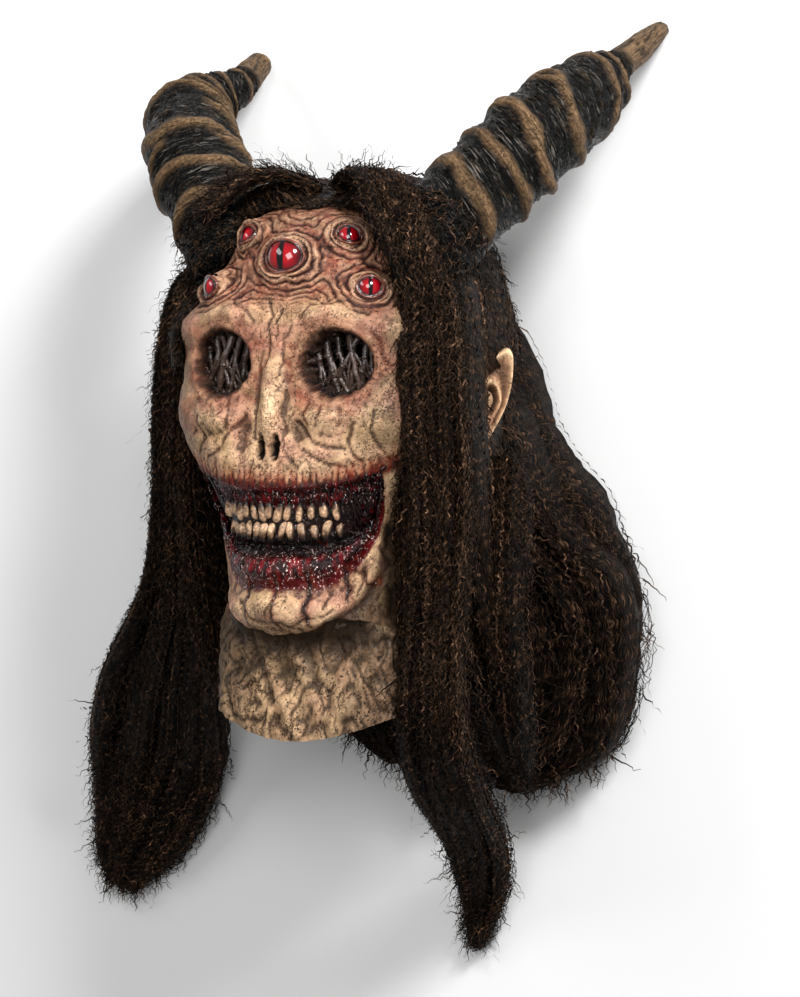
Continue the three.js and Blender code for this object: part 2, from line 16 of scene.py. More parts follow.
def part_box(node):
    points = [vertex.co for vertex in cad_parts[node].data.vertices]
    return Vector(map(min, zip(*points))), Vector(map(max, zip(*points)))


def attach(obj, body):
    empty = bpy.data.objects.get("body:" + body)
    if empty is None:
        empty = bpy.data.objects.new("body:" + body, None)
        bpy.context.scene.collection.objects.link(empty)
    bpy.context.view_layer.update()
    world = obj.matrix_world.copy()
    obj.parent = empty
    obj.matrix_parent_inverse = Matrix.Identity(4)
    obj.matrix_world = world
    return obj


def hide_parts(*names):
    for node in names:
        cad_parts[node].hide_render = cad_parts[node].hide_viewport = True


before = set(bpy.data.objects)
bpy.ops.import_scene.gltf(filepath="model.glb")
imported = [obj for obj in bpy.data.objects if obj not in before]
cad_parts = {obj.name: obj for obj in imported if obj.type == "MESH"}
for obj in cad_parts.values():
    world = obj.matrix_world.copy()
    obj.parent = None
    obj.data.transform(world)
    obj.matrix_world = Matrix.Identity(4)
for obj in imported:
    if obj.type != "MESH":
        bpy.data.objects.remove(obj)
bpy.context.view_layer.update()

TURN = 2 * math.pi
SEED = 20260
CROWN_HEIGHT = 0.109  # of the skin above the ears' axis, in metres
BACK_DEPTH = 0.102  # of the skin behind it
FLOOR = -138.0

skin_low, skin_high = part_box("mask_skin")
ORIGIN = np.array(
    [(skin_low.x + skin_high.x) / 2, skin_high.y - CROWN_HEIGHT, skin_low.z + BACK_DEPTH]
)


def place(points):
    return np.asarray(points, float) / 1000 + ORIGIN


# Small helpers. Points are arrays whose last axis is x, y, z.


def smooth(start, end, x):
    t = np.clip((x - start) / (end - start), 0, 1)
    return t * t * (3 - 2 * t)


def band(x, a, b, c, d):
    """1 where x lies between b and c, 0 outside a and d."""
    return smooth(a, b, x) * smooth(d, c, x)


def mix(a, b, share):
    share = np.asarray(share)
    return a + (b - a) * share


def length(v):
    return np.sqrt((v * v).sum(-1))


def unit(v):
    return v / np.maximum(length(v), 1e-9)[..., None]


def rows_at(table, s):
    """The rows at s of a smooth (Catmull-Rom) path through the rows of a table."""
    table = np.asarray(table, float)
    last = len(table) - 1
    s = np.asarray(s, float)
    i = np.clip(np.floor(s).astype(int), 0, last - 1)
    t = (s - i)[..., None]
    before, start = table[np.maximum(0, i - 1)], table[i]
    end, after = table[i + 1], table[np.minimum(last, i + 2)]
    slope_in, slope_out, rise = (end - before) / 2, (after - start) / 2, end - start
    return start + t * (
        slope_in + t * (3 * rise - 2 * slope_in - slope_out + t * (slope_in + slope_out - 2 * rise))
    )


random = np.random.default_rng(SEED)
SHUFFLE = random.permutation(256)
SLOPES = unit(random.normal(size=(256, 3)))


def noise(points, size, seed=0):
    """Smooth noise from about -1 to 1, with lumps of a size."""
    p = np.asarray(points, float) / size + seed * 37.31
    cell = np.floor(p).astype(int)
    f = p - cell
    w = f * f * f * (f * (f * 6 - 15) + 10)
    total = np.zeros(p.shape[:-1])
    for corner in np.ndindex(2, 2, 2):
        c = cell + corner
        key = SHUFFLE[c[..., 0] & 255]
        key = SHUFFLE[(key + c[..., 1]) & 255]
        key = SHUFFLE[(key + c[..., 2]) & 255]
        weight = np.prod(np.where(corner, w, 1 - w), axis=-1)
        total += weight * ((f - corner) * SLOPES[key]).sum(-1)
    return total * 1.7


def drift(points, size, seed):
    """Three noises, one along each axis."""
    return np.stack([noise(points, size, seed + k) for k in range(3)], -1)


def lie_above_floor(points, gap=0.8):
    points[..., 2] = np.maximum(points[..., 2], FLOOR + gap)
    return points


def valley(value, width):
    """1 along the line where the value is 0, and 0 away from it."""
    return np.exp(-((value / width) ** 2))


def turns(count):
    """Angles evenly spaced round a circle."""
    return np.arange(count) / count * TURN


def run_of(steps):
    """How far each point is along a line, from the steps between its points."""
    return np.concatenate([[0], np.cumsum(steps)])


def offset(base, aside, out, x, z):
    """Places x aside and z out of a base."""
    return base + x[..., None] * aside + z[..., None] * out


# Meshes


def grid_quads(rows, columns, closed=True):
    r = np.arange(rows - 1)[:, None]
    c = np.arange(columns if closed else columns - 1)[None, :]
    after = (c + 1) % columns
    a, b = r * columns + c, r * columns + after
    return np.stack([a, b, b + columns, a + columns], -1).reshape(-1, 4)


def end_caps(rows, sides):
    """The two end faces of a tube of rings."""
    return [np.arange(sides)[::-1][None], (np.arange(sides) + (rows - 1) * sides)[None]]


def make_mesh(name, points, faces, attributes, normals):
    """A mesh object from arrays of points and of faces, each array of faces with one corner count."""
    points = place(points)
    mesh = bpy.data.meshes.new(name)
    mesh.vertices.add(len(points))
    mesh.vertices.foreach_set("co", points.astype(np.float32).ravel())
    corners = np.concatenate([f.ravel() for f in faces])
    sizes = np.concatenate([np.full(len(f), f.shape[1]) for f in faces])
    starts = np.concatenate([[0], np.cumsum(sizes)[:-1]])
    mesh.loops.add(len(corners))
    mesh.loops.foreach_set("vertex_index", corners.astype(np.int32))
    mesh.polygons.add(len(sizes))
    mesh.polygons.foreach_set("loop_start", starts.astype(np.int32))
    mesh.polygons.foreach_set("use_smooth", np.ones(len(sizes), bool))
    mesh.update(calc_edges=True)
    for key, values in attributes.items():
        if values.shape[1] == 1:
            kind, field = "FLOAT", "value"
        else:
            kind, field = "FLOAT_COLOR", "color"
            values = np.column_stack([values, np.ones(len(values))])
        mesh.attributes.new(key, kind, "POINT").data.foreach_set(field, values.astype(np.float32).ravel())
    if normals is not None:
        mesh.normals_split_custom_set_from_vertices(normals.tolist())
    piece = bpy.data.objects.new(name, mesh)
    bpy.context.scene.collection.objects.link(piece)
    return piece


def joined(parts):
    """Several (points, list of face arrays, attributes) as one."""
    points, faces, attributes, start = [], [], {}, 0
    for part_points, part_faces, part_attributes in parts:
        part_points = np.asarray(part_points, float).reshape(-1, 3)
        points.append(part_points)
        faces += [np.asarray(f) + start for f in part_faces if len(f)]
        for key, values in part_attributes.items():
            attributes.setdefault(key, []).append(np.asarray(values).reshape(len(part_points), -1))
        start += len(part_points)
    by_size = {}
    for f in faces:
        by_size.setdefault(f.shape[1], []).append(f)
    return (
        np.concatenate(points),
        [np.concatenate(group) for group in by_size.values()],
        {key: np.concatenate(values) for key, values in attributes.items()},
    )


def add_piece(name, parts, material, slot, *nodes, normals=None):
    """One visible piece of several parts, in one material, in place of some solids."""
    points, faces, attributes = joined(parts)
    piece = make_mesh(name, points, faces, attributes, normals)
    piece.data.materials.append(material)
    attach(piece, "root")
    if nodes:
        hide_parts(*nodes)


def tubes(lines, radii, sides, tint):
    """Closed tubes round lines, an array of (line, point, xyz), with a radius for each point."""
    count, steps = lines.shape[:2]
    along = unit(np.gradient(lines, axis=1))
    around = unit(np.cross(along, unit(np.array([0.13, 0.29, 0.95]))))
    across = np.cross(along, around)
    turn = turns(sides)
    rings = (
        lines[:, :, None]
        + np.cos(turn)[:, None] * around[:, :, None] * radii[:, :, None, None]
        + np.sin(turn)[:, None] * across[:, :, None] * radii[:, :, None, None]
    )
    quads = grid_quads(steps, sides)
    offsets = (np.arange(count) * steps * sides)[:, None, None]
    faces = (quads[None] + offsets).reshape(-1, 4)
    caps = np.concatenate([cap + offsets[:, 0] for cap in end_caps(steps, sides)])
    spread = np.broadcast_to(tint[..., None, :], (count, steps, sides, 3))
    return rings, [faces, caps], {"tint": spread}


# Colours


def colour(r, g, b):
    """A colour as seen, 0 to 255, as light."""
    c = np.array([r, g, b]) / 255
    return np.where(c <= 0.04045, c / 12.92, ((c + 0.055) / 1.055) ** 2.4)


BONE = colour(226, 186, 146)
BONE_WARM = colour(190, 142, 108)
OCHRE = colour(168, 136, 88)
PINK = colour(196, 134, 114)
ROSY = colour(146, 80, 60)
# Dark brown and dark red for washes, veins and cracks, also used as painted shade in creases and hollows
WASH_AND_SHADE = colour(60, 36, 24)
RED_WASH_AND_SHADE = colour(44, 17, 12)
PIT = colour(16, 10, 8)
LIP_BLEED = colour(158, 62, 30)
BLOOD = colour(98, 11, 12)
BLOOD_DARK = colour(30, 6, 6)
GUM = colour(122, 12, 22)
NECK = colour(184, 150, 112)
NECK_DARK = colour(66, 48, 33)
# A painted glint on wet tissue
PAINTED_GLINT = colour(244, 214, 206)
INSIDE_LATEX_IN_SHADE = colour(96, 84, 68)
TOOTH = colour(238, 192, 152)
SINEW = colour(64, 48, 41)
TOOTH_ROOT = colour(70, 42, 24)
HORN_BROWN = colour(98, 75, 51)
HORN_PALE = colour(150, 119, 86)
HORN_BLACK = colour(6, 5, 4)
HORN_GLINT = colour(150, 142, 132)
EYE_RED = colour(158, 6, 20)
EYE_DARK_RED = colour(70, 3, 10)
EYE_GLOW = colour(196, 14, 30)
EYE_SLIT = colour(6, 2, 3)
EYE_RIM = colour(14, 2, 4)
HAIR_DARK = colour(8, 6, 5)
HAIR_BROWN = colour(126, 94, 71)


# Materials


CRACK_STOPS = ((0.47, 0.0), (0.497, 1.0), (0.503, 1.0), (0.53, 0.0))
SPECKS = ((470.0, 0.3), (260.0, 0.22))  # cells in a metre, and a speck's radius as a share of a cell


class Nodes:
    """A material's node tree, with short ways to add and join nodes."""

    def __init__(self, name):
        self.material = bpy.data.materials.new(name)
        self.material.use_nodes = True
        self.tree = self.material.node_tree
        self.shader = self.tree.nodes["Principled BSDF"]

    def add(self, kind, values=None, **settings):
        node = self.tree.nodes.new("ShaderNode" + kind)
        for key, value in settings.items():
            setattr(node, key, value)
        for key, value in (values or {}).items():
            self.put(node, key, value)
        return node

    def put(self, node, key, value):
        if isinstance(value, bpy.types.NodeSocket):
            self.tree.links.new(value, node.inputs[key])
        else:
            node.inputs[key].default_value = value

    def set(self, **values):
        for key, value in values.items():
            self.put(self.shader, key.replace("_", " "), value)

    def attribute(self, name, out="Fac"):
        return self.add("Attribute", attribute_name=name).outputs[out]

    def noise(self, size_mm, where=None, detail=3, distortion=0.0, roughness=0.55):
        """Noise with lumps of about a size."""
        values = {
            "Vector": where or self.where(),
            "Scale": 1000 / size_mm,
            "Detail": detail,
            "Distortion": distortion,
            "Roughness": roughness,
        }
        return self.add("TexNoise", values).outputs["Fac"]

    def where(self):
        return self.add("TexCoord").outputs["Object"]

    def ramp(self, value, *stops):
        """Straight from one (position, value) to the next."""
        node = self.add("ValToRGB", {"Fac": value})
        elements = node.color_ramp.elements
        while len(elements) < len(stops):
            elements.new(0.5)
        for element, (position, level) in zip(elements, stops):
            element.position = position
            element.color = (level, level, level, 1)
        return node.outputs["Color"]

    def math(self, operation, a, b=None):
        node = self.add("Math", operation=operation)
        self.put(node, 0, a)
        if b is not None:
            self.put(node, 1, b)
        return node.outputs[0]

    def times(self, first, *others):
        for other in others:
            first = self.math("MULTIPLY", first, other)
        return first

    def mix(self, share, a, b, blend="MIX"):
        node = self.add("Mix", data_type="RGBA", blend_type=blend)
        self.put(node, "Factor", share)
        for index, value in ((6, a), (7, b)):
            if isinstance(value, bpy.types.NodeSocket):
                self.tree.links.new(value, node.inputs[index])
            else:
                node.inputs[index].default_value = (*map(float, value), 1)
        return node.outputs[2]

    def shaded(self, paint, shade):
        return self.mix(1.0, paint, shade, "MULTIPLY")

    def cracks(self, size_mm, **settings):
        """Dark lines along the middle of a noise."""
        return self.ramp(self.noise(size_mm, **settings), *CRACK_STOPS)

    def bump(self, *heights):
        """Bumps on bumps: each is a height and how deep it is in millimetres."""
        normal = None
        for height, deep in heights:
            values = {"Height": height, "Distance": deep / 1000, "Strength": 1.0}
            if normal is not None:
                values["Normal"] = normal
            normal = self.add("Bump", values).outputs["Normal"]
        self.set(Normal=normal)


def skin_material():
    """Painted latex: blotches, specks, veins and a net of cracks, with painted glints where it is wet."""
    n = Nodes("painted latex")
    tint = n.attribute("tint", "Color")
    wet = n.attribute("wet")
    veined = n.attribute("veined")
    mottled = n.ramp(n.noise(7, detail=5, distortion=0.6), (0.3, 0.62), (0.66, 1.16))
    fine = n.ramp(n.noise(1.3, detail=4), (0.25, 0.76), (0.75, 1.18))
    painted = n.shaded(n.shaded(tint, mottled), fine)
    # Dark specks of two sizes, in drifts, and thin brown veins
    drifts = n.ramp(n.noise(13, detail=2), (0.36, 0.25), (0.54, 1.0))
    dots = []
    for scale, radius in SPECKS:
        cells = n.add("TexVoronoi", {"Vector": n.where(), "Scale": scale, "Randomness": 1.0})
        chosen = n.ramp(cells.outputs["Color"], (0.4, 0.0), (0.48, 1.0))
        dot = n.ramp(cells.outputs["Distance"], (radius * 0.55, 1.0), (radius, 0.0))
        dots.append(n.times(dot, chosen))
    specks = n.times(n.math("MAXIMUM", *dots), drifts, veined)
    painted = n.mix(n.times(specks, 0.9), painted, PIT)
    veins = n.noise(13, detail=4, distortion=1.3, roughness=0.6)
    lines = n.ramp(veins, (0.486, 0.0), (0.498, 1.0), (0.502, 1.0), (0.514, 0.0))
    lines = n.times(lines, n.ramp(n.noise(24, detail=2), (0.48, 0.0), (0.6, 1.0)))
    painted = n.mix(n.times(lines, veined, 0.8), painted, WASH_AND_SHADE)
    net = n.cracks(5.5, detail=3, distortion=1.8, roughness=0.5)
    net = n.times(net, n.ramp(n.noise(17, detail=2), (0.42, 0.1), (0.58, 1.0)))
    painted = n.mix(n.times(net, veined, 0.88), painted, WASH_AND_SHADE * 0.7)
    # Painted glints: pale flecks where it is wet
    across = n.add("Mapping", {"Vector": n.where(), "Scale": (1.0, 0.5, 0.7)}).outputs["Vector"]
    painted_glints = n.ramp(n.noise(2.6, where=across, detail=2, distortion=2.6), (0.635, 0.0), (0.665, 1.0))
    painted = n.mix(n.times(painted_glints, n.ramp(wet, (0.3, 0.0), (1.0, 0.95))), painted, PAINTED_GLINT)
    dry = n.ramp(n.noise(2.5, detail=3), (0.3, 0.4), (0.7, 0.62))
    shine = n.ramp(n.noise(1.6, detail=2), (0.3, 0.06), (0.7, 0.14))
    n.set(Base_Color=painted, Roughness=n.mix(wet, dry, shine), Specular_IOR_Level=0.27)
    beads = n.times(n.noise(2.0, detail=3, distortion=0.8), wet)
    n.bump(
        (n.noise(3.4, detail=5, roughness=0.66), 0.8),
        (specks, -0.15),
        (lines, -0.25),
        (net, -0.45),
        (beads, 0.9),
    )
    return n.material


def wet_material(name, bumpiness):
    """Glossy tissue: sinews, the lids' edges and the strings in the mouth."""
    n = Nodes(name)
    tint = n.attribute("tint", "Color")
    spots = n.ramp(n.noise(2.4, detail=4), (0.3, 0.55), (0.7, 1.4))
    n.set(
        Base_Color=n.shaded(tint, spots),
        Roughness=n.ramp(n.noise(3), (0.3, 0.12), (0.7, 0.3)),
        Coat_Weight=0.4,
        Coat_Roughness=0.08,
    )
    n.bump((n.noise(2.2, detail=4), bumpiness))
    return n.material


def tooth_material():
    n = Nodes("aged tooth")
    tint = n.attribute("tint", "Color")
    stain = n.ramp(n.noise(1.6, detail=4), (0.34, 0.4), (0.6, 1.12))
    n.set(
        Base_Color=n.shaded(tint, stain),
        Roughness=n.ramp(n.noise(2), (0.3, 0.2), (0.7, 0.4)),
    )
    n.bump((n.noise(1.5, detail=3), 0.25))
    return n.material


def horn_material():
    """Streaked horn: dull on the brown ridges and the tip, glossy and ropy in the black grooves."""
    n = Nodes("horn")
    tint = n.attribute("tint", "Color")
    wet = n.attribute("wet")
    grain = n.attribute("grain", "Vector")
    streaks = n.noise(900, where=grain, detail=6, distortion=0.4, roughness=0.7)
    light = n.ramp(streaks, (0.34, 0.25), (0.5, 0.9), (0.68, 1.6))
    spots = n.ramp(n.noise(2.2, detail=4), (0.3, 0.7), (0.7, 1.25))
    painted = n.shaded(n.shaded(tint, light), spots)
    cracks = n.cracks(6, detail=5, distortion=2.0)
    painted = n.mix(n.times(cracks, 0.6), painted, HORN_BLACK)
    # Painted glints: pale streaks along the grain in the black grooves
    glints = n.ramp(n.noise(800, where=grain, detail=5, distortion=0.8), (0.57, 0.0), (0.66, 1.0))
    glints = n.times(glints, n.ramp(n.noise(14, detail=2), (0.36, 0.15), (0.56, 1.0)), wet, 0.6)
    painted = n.mix(glints, painted, HORN_GLINT)
    dull = n.ramp(n.noise(3), (0.3, 0.42), (0.7, 0.62))
    shine = n.ramp(streaks, (0.3, 0.1), (0.7, 0.26))
    n.set(Base_Color=painted, Roughness=n.mix(wet, dull, shine), Specular_IOR_Level=0.15)
    ropy = n.times(n.noise(3.2, detail=3, distortion=1.0), wet)
    n.bump((streaks, 1.2), (n.noise(1.6, detail=4), 0.35), (cracks, -0.4), (ropy, 1.6))
    return n.material


def hair_material():
    """Crimped strands are painted on the dark masses; the strands of mesh have a tint of their own."""
    n = Nodes("crimped hair")
    tint = n.attribute("tint", "Color")
    mass = n.attribute("mass")
    grain = n.attribute("grain", "Vector")
    spots = n.ramp(n.noise(2.2, detail=3, distortion=1.2), (0.42, 0.35), (0.56, 1.0), (0.7, 3.2))
    split = n.add("SeparateXYZ", {"Vector": grain})
    along, aside = split.outputs["X"], split.outputs["Y"]
    bent = n.times(n.noise(9000, where=grain, detail=1), 9.0)
    wave = n.math("SINE", n.math("ADD", n.times(along, TURN / CRIMP), bent))
    zigzag = n.math("ADD", aside, n.times(wave, 1.3))
    lain = n.add("CombineXYZ", {"X": n.times(along, 0.14), "Y": zigzag}).outputs["Vector"]
    strands = n.noise(1300, where=lain, detail=3)
    # Painted strands, with a painted highlight where the crimp bends, on a background of darker hair that
    # is partly painted shade
    light = n.ramp(strands, (0.46, 0.0), (0.56, 0.3), (0.68, 1.0))
    light = n.times(light, n.ramp(wave, (0.0, 0.35), (0.8, 1.0)))
    lock = n.mix(light, HAIR_DARK * 0.3, HAIR_BROWN * 0.7)
    n.set(
        Base_Color=n.mix(mass, n.shaded(tint, spots), lock),
        Roughness=n.ramp(n.noise(3), (0.3, 0.4), (0.7, 0.62)),
        Specular_IOR_Level=0.06,
    )
    n.bump((n.noise(1.6, detail=3, distortion=1.0), 0.9), (n.times(strands, mass), 2.4))
    return n.material


def eye_material():
    n = Nodes("glass eye")
    tint = n.attribute("tint", "Color")
    flecks = n.ramp(n.noise(1.2, detail=3), (0.3, 0.75), (0.7, 1.15))
    n.set(
        Base_Color=n.shaded(tint, flecks),
        Roughness=0.12,
        Coat_Weight=1.0,
        Coat_Roughness=0.02,
    )
    n.bump((n.noise(2.5, detail=2), 0.05))
    return n.material


def inside_material():
    # Bare latex, darker than it is: painted shade for the inside seen through the sockets
    n = Nodes("bare latex in painted shade")
    mottled = n.noise(8, detail=4)
    n.set(
        Base_Color=n.mix(mottled, INSIDE_LATEX_IN_SHADE * 0.7, INSIDE_LATEX_IN_SHADE * 1.1),
        Roughness=n.ramp(mottled, (0.3, 0.6), (0.7, 0.8)),
    )
    n.bump((n.noise(4, detail=4), 0.5))
    return n.material


# The head: height, half width, front, back, depth of its widest line, squareness.
HEAD_ROWS = [
    [-222, 80, 90, -62, 15, 2.1],
    [-205, 79, 89, -61, 15, 2.1],
    [-186, 78, 88, -60, 15, 2.1],
    [-168, 79, 89, -60, 14, 2.1],
    [-157, 80, 96, -62, 13, 2.0],
    [-150, 80, 111, -65, 12, 1.8],
    [-141, 79, 117, -70, 11, 1.65],
    [-129, 75, 114, -76, 10, 1.6],
    [-118, 73, 118, -81, 9, 1.6],
    [-107, 74, 118, -86, 8, 1.65],
    [-97, 75, 117, -90, 7, 1.7],
    [-87, 76, 117, -93, 6, 1.8],
    [-77, 78, 118, -95, 5, 1.95],
    [-67, 81, 119, -97, 4, 2.1],
    [-55, 84, 118, -99, 3, 2.4],
    [-43, 87, 116, -100, 2, 2.8],
    [-30, 88, 113, -101, 1, 3.1],
    [-15, 88, 110, -102, 0, 3.3],
    [0, 88, 108, -102, 0, 3.4],
    [15, 88, 107, -102, 0, 3.4],
    [28, 87, 106, -101, 0, 3.3],
    [42, 84, 101, -96, 0, 2.8],
    [56, 79, 95, -91, 0, 2.2],
    [70, 75, 90, -85, 0, 2.0],
    [83, 69, 84, -76, 0, 2.0],
    [94, 59, 74, -65, -1, 2.0],
    [102, 43, 55, -49, -3, 2.0],
    [107, 22, 27, -32, -4, 2],
    [109, 0, -5, -5, -5, 2],
]
# Brushes push the surface near a place: place, reach, push, flat share, whether on both sides.
BRUSHES = [
    [(72, -24, 82), (28, 24, 42), (2, 0, 5), 0, True],  # cheekbone
    [(70, 28, 80), (24, 18, 40), (2, 1, 6), 0, True],  # brow corner
    [(84, 6, 66), (16, 10, 30), (-3, 0, -2), 0, True],  # temple
    [(40, -25, 104), (25, 14, 30), (0, 0, 6), 0, True],  # cheek pillow
    [(38, 36, 102), (32, 12, 30), (0, 1, 6), 0, True],  # brow ridge
    [(0, -14, 112), (11, 40, 30), (0, 0, 9), 0, False],  # bridge
    [(18, -38, 110), (11, 18, 30), (0, 0, -5), 0, True],  # hollow beside the nose
    [(39, 5.5, 106), (25, 23, 46), (0, 0, -27), 0.55, True],  # socket
    [(0, 68, 92), (27, 21, 40), (0, 1, 9), 0.3, False],  # eyelids, centre
    [(35, 84, 74), (19, 14, 30), (2, 2, 6), 0.2, True],  # eyelids, upper
    [(55, 52, 80), (20, 14, 30), (6, 0, 8), 0.2, True],  # eyelids, lower
    [(62, -144, 52), (24, 20, 34), (-8, 0, -12), 0, True],  # jaw notch
    [(0, -141, 106), (38, 15, 30), (0, 0, 5), 0, False],  # chin
]
# Brushes that keep the inside clear of the sockets, the mouth, the nose and the jaw.
INSIDE_BRUSHES = [
    [(39, 5.5, 103), (32, 30, 50), (0, 0, -27), 0.55, True],
    [(0, -96, 108), (74, 48, 60), (0, 0, -18), 0.6, False],
    [(60, -144, 48), (36, 34, 48), (-10, 0, -16), 0.3, True],
    [(0, -40, 112), (48, 36, 50), (0, 0, -10), 0.4, False],
    [(56, -110, 60), (34, 44, 60), (-8, 0, -8), 0.3, True],
    [(0, -44, 108), (20, 16, 34), (0, 0, -12), 0.4, False],
]
CARVING_ROOM = {"face": 2.5, "neck": 9.5}  # the inside stays this much further in, under the carving
MOUTH = {"corner": 62, "top": -67, "rise": 9, "bottom": -125, "lift": 64, "power": 4.6}
# How deep the mouth is sunk, by the share of the way down it.
MOUTH_DEPTH = np.array(
    [
        [0, 0],
        [0.1, 4.5],
        [0.22, 6],
        [0.42, 6.5],
        [0.55, 8],
        [0.63, 13],
        [0.7, 8],
        [0.78, 0.5],
        [0.88, -1.5],
        [0.96, 0],
        [1.04, 1.5],
        [1.12, 0],
    ]
)
WIDE_OPEN = 22  # an opening from which the mouth has its full depth
BACK_SQUARE = 2.1  # squareness of the back of the head
CROWN = (60, 109)  # heights between which a grown head also grows upwards
HEM_RISE = {"side": 26, "back": 18, "fades": -165}
WALL = 3.5
INSIDE_ROWS, INSIDE_COLUMNS = 66, 84
LAST_ROW = len(HEAD_ROWS) - 1
SAMPLES = 4001  # along a line that is divided into rows or columns
HALVINGS = 40


def brushed(points, brushes):
    points = np.array(points, float)
    for centre, reach, push, flat, both in brushes:
        side = np.where(both & (points[..., 0] < 0), -1.0, 1.0)
        mirror = np.stack([side, np.ones_like(side), np.ones_like(side)], -1)
        away = length((points * mirror - centre) / reach)
        share = 1 - smooth(flat, 1, away)
        points += mirror * push * share[..., None]
    return points


def mouth_rise(x):
    """How much higher the mouth lies at x than in its middle."""
    return MOUTH["rise"] * np.abs(x / MOUTH["corner"]) ** 3


def mouth_top(x):
    return MOUTH["top"] + mouth_rise(x)


def mouth_bottom(x):
    lifted = MOUTH["bottom"] + MOUTH["lift"] * np.abs(x / MOUTH["corner"]) ** MOUTH["power"]
    return np.minimum(mouth_top(x), lifted)


def mouth_share(x, y):
    """How far down the mouth a point is, from 0 at its top to 1 at its bottom, and how open it is there."""
    opening = mouth_top(x) - mouth_bottom(x)
    return (mouth_top(x) - y) / np.maximum(opening, 1e-3), opening


def mouth_depth(x, y):
    down, opening = mouth_share(x, y)
    shares, depths = MOUTH_DEPTH.T
    i = np.clip(np.searchsorted(shares, down, side="right") - 1, 0, len(shares) - 2)
    depth = mix(depths[i], depths[i + 1], smooth(shares[i], shares[i + 1], down))
    return np.where((down < 0) | (down > shares[-1]), 0, depth) * smooth(0, WIDE_OPEN, opening)


def plain_head(where, angle, grow=0.0):
    height, width, front, back, middle, square = np.moveaxis(rows_at(HEAD_ROWS, where), -1, 0)
    across, along = np.abs(np.sin(angle)), np.cos(angle)
    ahead = along > 0
    reach = np.where(ahead, front - middle, middle - back)
    power = np.where(ahead, square, BACK_SQUARE)
    wide, deep = np.maximum(width + grow, 0.02), np.maximum(reach + grow, 0.02)
    radius = ((across / wide) ** power + (np.abs(along) / deep) ** power) ** (-1 / power)
    rise = grow * smooth(*CROWN, height)
    hem = smooth(HEM_RISE["fades"], HEAD_ROWS[0][0], height)
    bib = HEM_RISE["side"] * across**2 + np.where(ahead, 0, HEM_RISE["back"] * along**2)
    return np.stack(
        [np.sin(angle) * radius, height + rise + hem * bib, middle + along * radius], -1
    )


def head(where, angle, grow=0.0):
    points = brushed(plain_head(where, angle, grow), BRUSHES)
    sunk = np.where(np.cos(angle) > 0, mouth_depth(points[..., 0], points[..., 1]), 0)
    points[..., 2] -= sunk
    return points


def halved(test, low, high):
    """Where a rising test turns true between two arrays."""
    for _ in range(HALVINGS):
        half = (low + high) / 2
        under = test(half)
        low, high = np.where(under, half, low), np.where(under, high, half)
    return low


def depth_at(x, y):
    """The depth of the front of the head above (x, y)."""
    x, y = np.broadcast_arrays(np.asarray(x, float), np.asarray(y, float))
    zero = np.zeros(x.shape)
    where = halved(lambda s: rows_at(HEAD_ROWS, s)[..., 0] < y, zero, zero + LAST_ROW)
    angle = halved(lambda a: head(where, a)[..., 0] < np.abs(x), zero, zero + math.pi / 2)
    return head(where, angle)[..., 2]


# Eyes: name, x, y, gaze, half width, height, lid opening half width and half height, tilt.
EYES = [
    ["eye_centre", 0, 70.0, (0, 0.12, 1), 12.8, 8, 12.2, 9.2, 0.0],
    ["eye_upper_left", 35.5, 83, (0.42, 0.4, 0.82), 7.4, 4.9, 7.2, 5.3, -0.28],
    ["eye_upper_right", -35.5, 83, (-0.42, 0.4, 0.82), 7.4, 4.9, 7.2, 5.3, 0.28],
    ["eye_lower_left", 55.5, 51.5, (0.56, 0.08, 0.82), 7.8, 5, 7.3, 5.9, -0.1],
    ["eye_lower_right", -55.5, 51.5, (-0.56, 0.08, 0.82), 7.8, 5, 7.3, 5.9, 0.1],
]
EYE_STANDS_OUT = 1.8
# The pupil and the glow beside it, as shares of the ball's radius.
PUPIL = {"slit_half": 0.15, "slit_high": 0.72, "glow_at": 0.33}
GLASS = {"rings": 28, "around": 48, "reach": 1.35}  # reaches so far from its top, in radians
LID_STEPS, LID_SIDES = 52, 6
# The lid's edge, outer and inner: how much wider than the opening, how high, how thick, its colour.
LID_EDGES = [(0.55, 0.75, 0.95, mix(RED_WASH_AND_SHADE, ROSY, 0.5)), (-0.35, 0.1, 0.6, PIT)]


class Eye:
    def __init__(self, name, x, y, gaze, half, high, lid_wide, lid_high, tilt):
        self.name, self.lid = name, (lid_wide, lid_high)
        self.look = unit(np.array(gaze, float))
        self.radius = (half * half + high * high) / (2 * high)
        surface = np.array([x, y, float(depth_at(x, y))])
        self.centre = surface + self.look * EYE_STANDS_OUT - self.look * self.radius
        level = unit(np.cross([0, 1, 0], self.look))
        upright = np.cross(self.look, level)
        self.right = level * math.cos(tilt) + upright * math.sin(tilt)
        self.up = upright * math.cos(tilt) - level * math.sin(tilt)
        self.level, self.upright = level, upright

    def seen(self, points):
        """A point's place across the eye, up it and out from its centre."""
        away = points - self.centre
        return away @ self.right, away @ self.up, away @ self.look

    def beyond_lid(self, points):
        """The distance outside the lid's opening, and the share of the way to it."""
        u, v, w = self.seen(points)
        a, b = self.lid
        share = np.hypot(u / a, v / b)
        return (share - 1) * (a + b) / 2, share, w


eyes = [Eye(*row) for row in EYES]
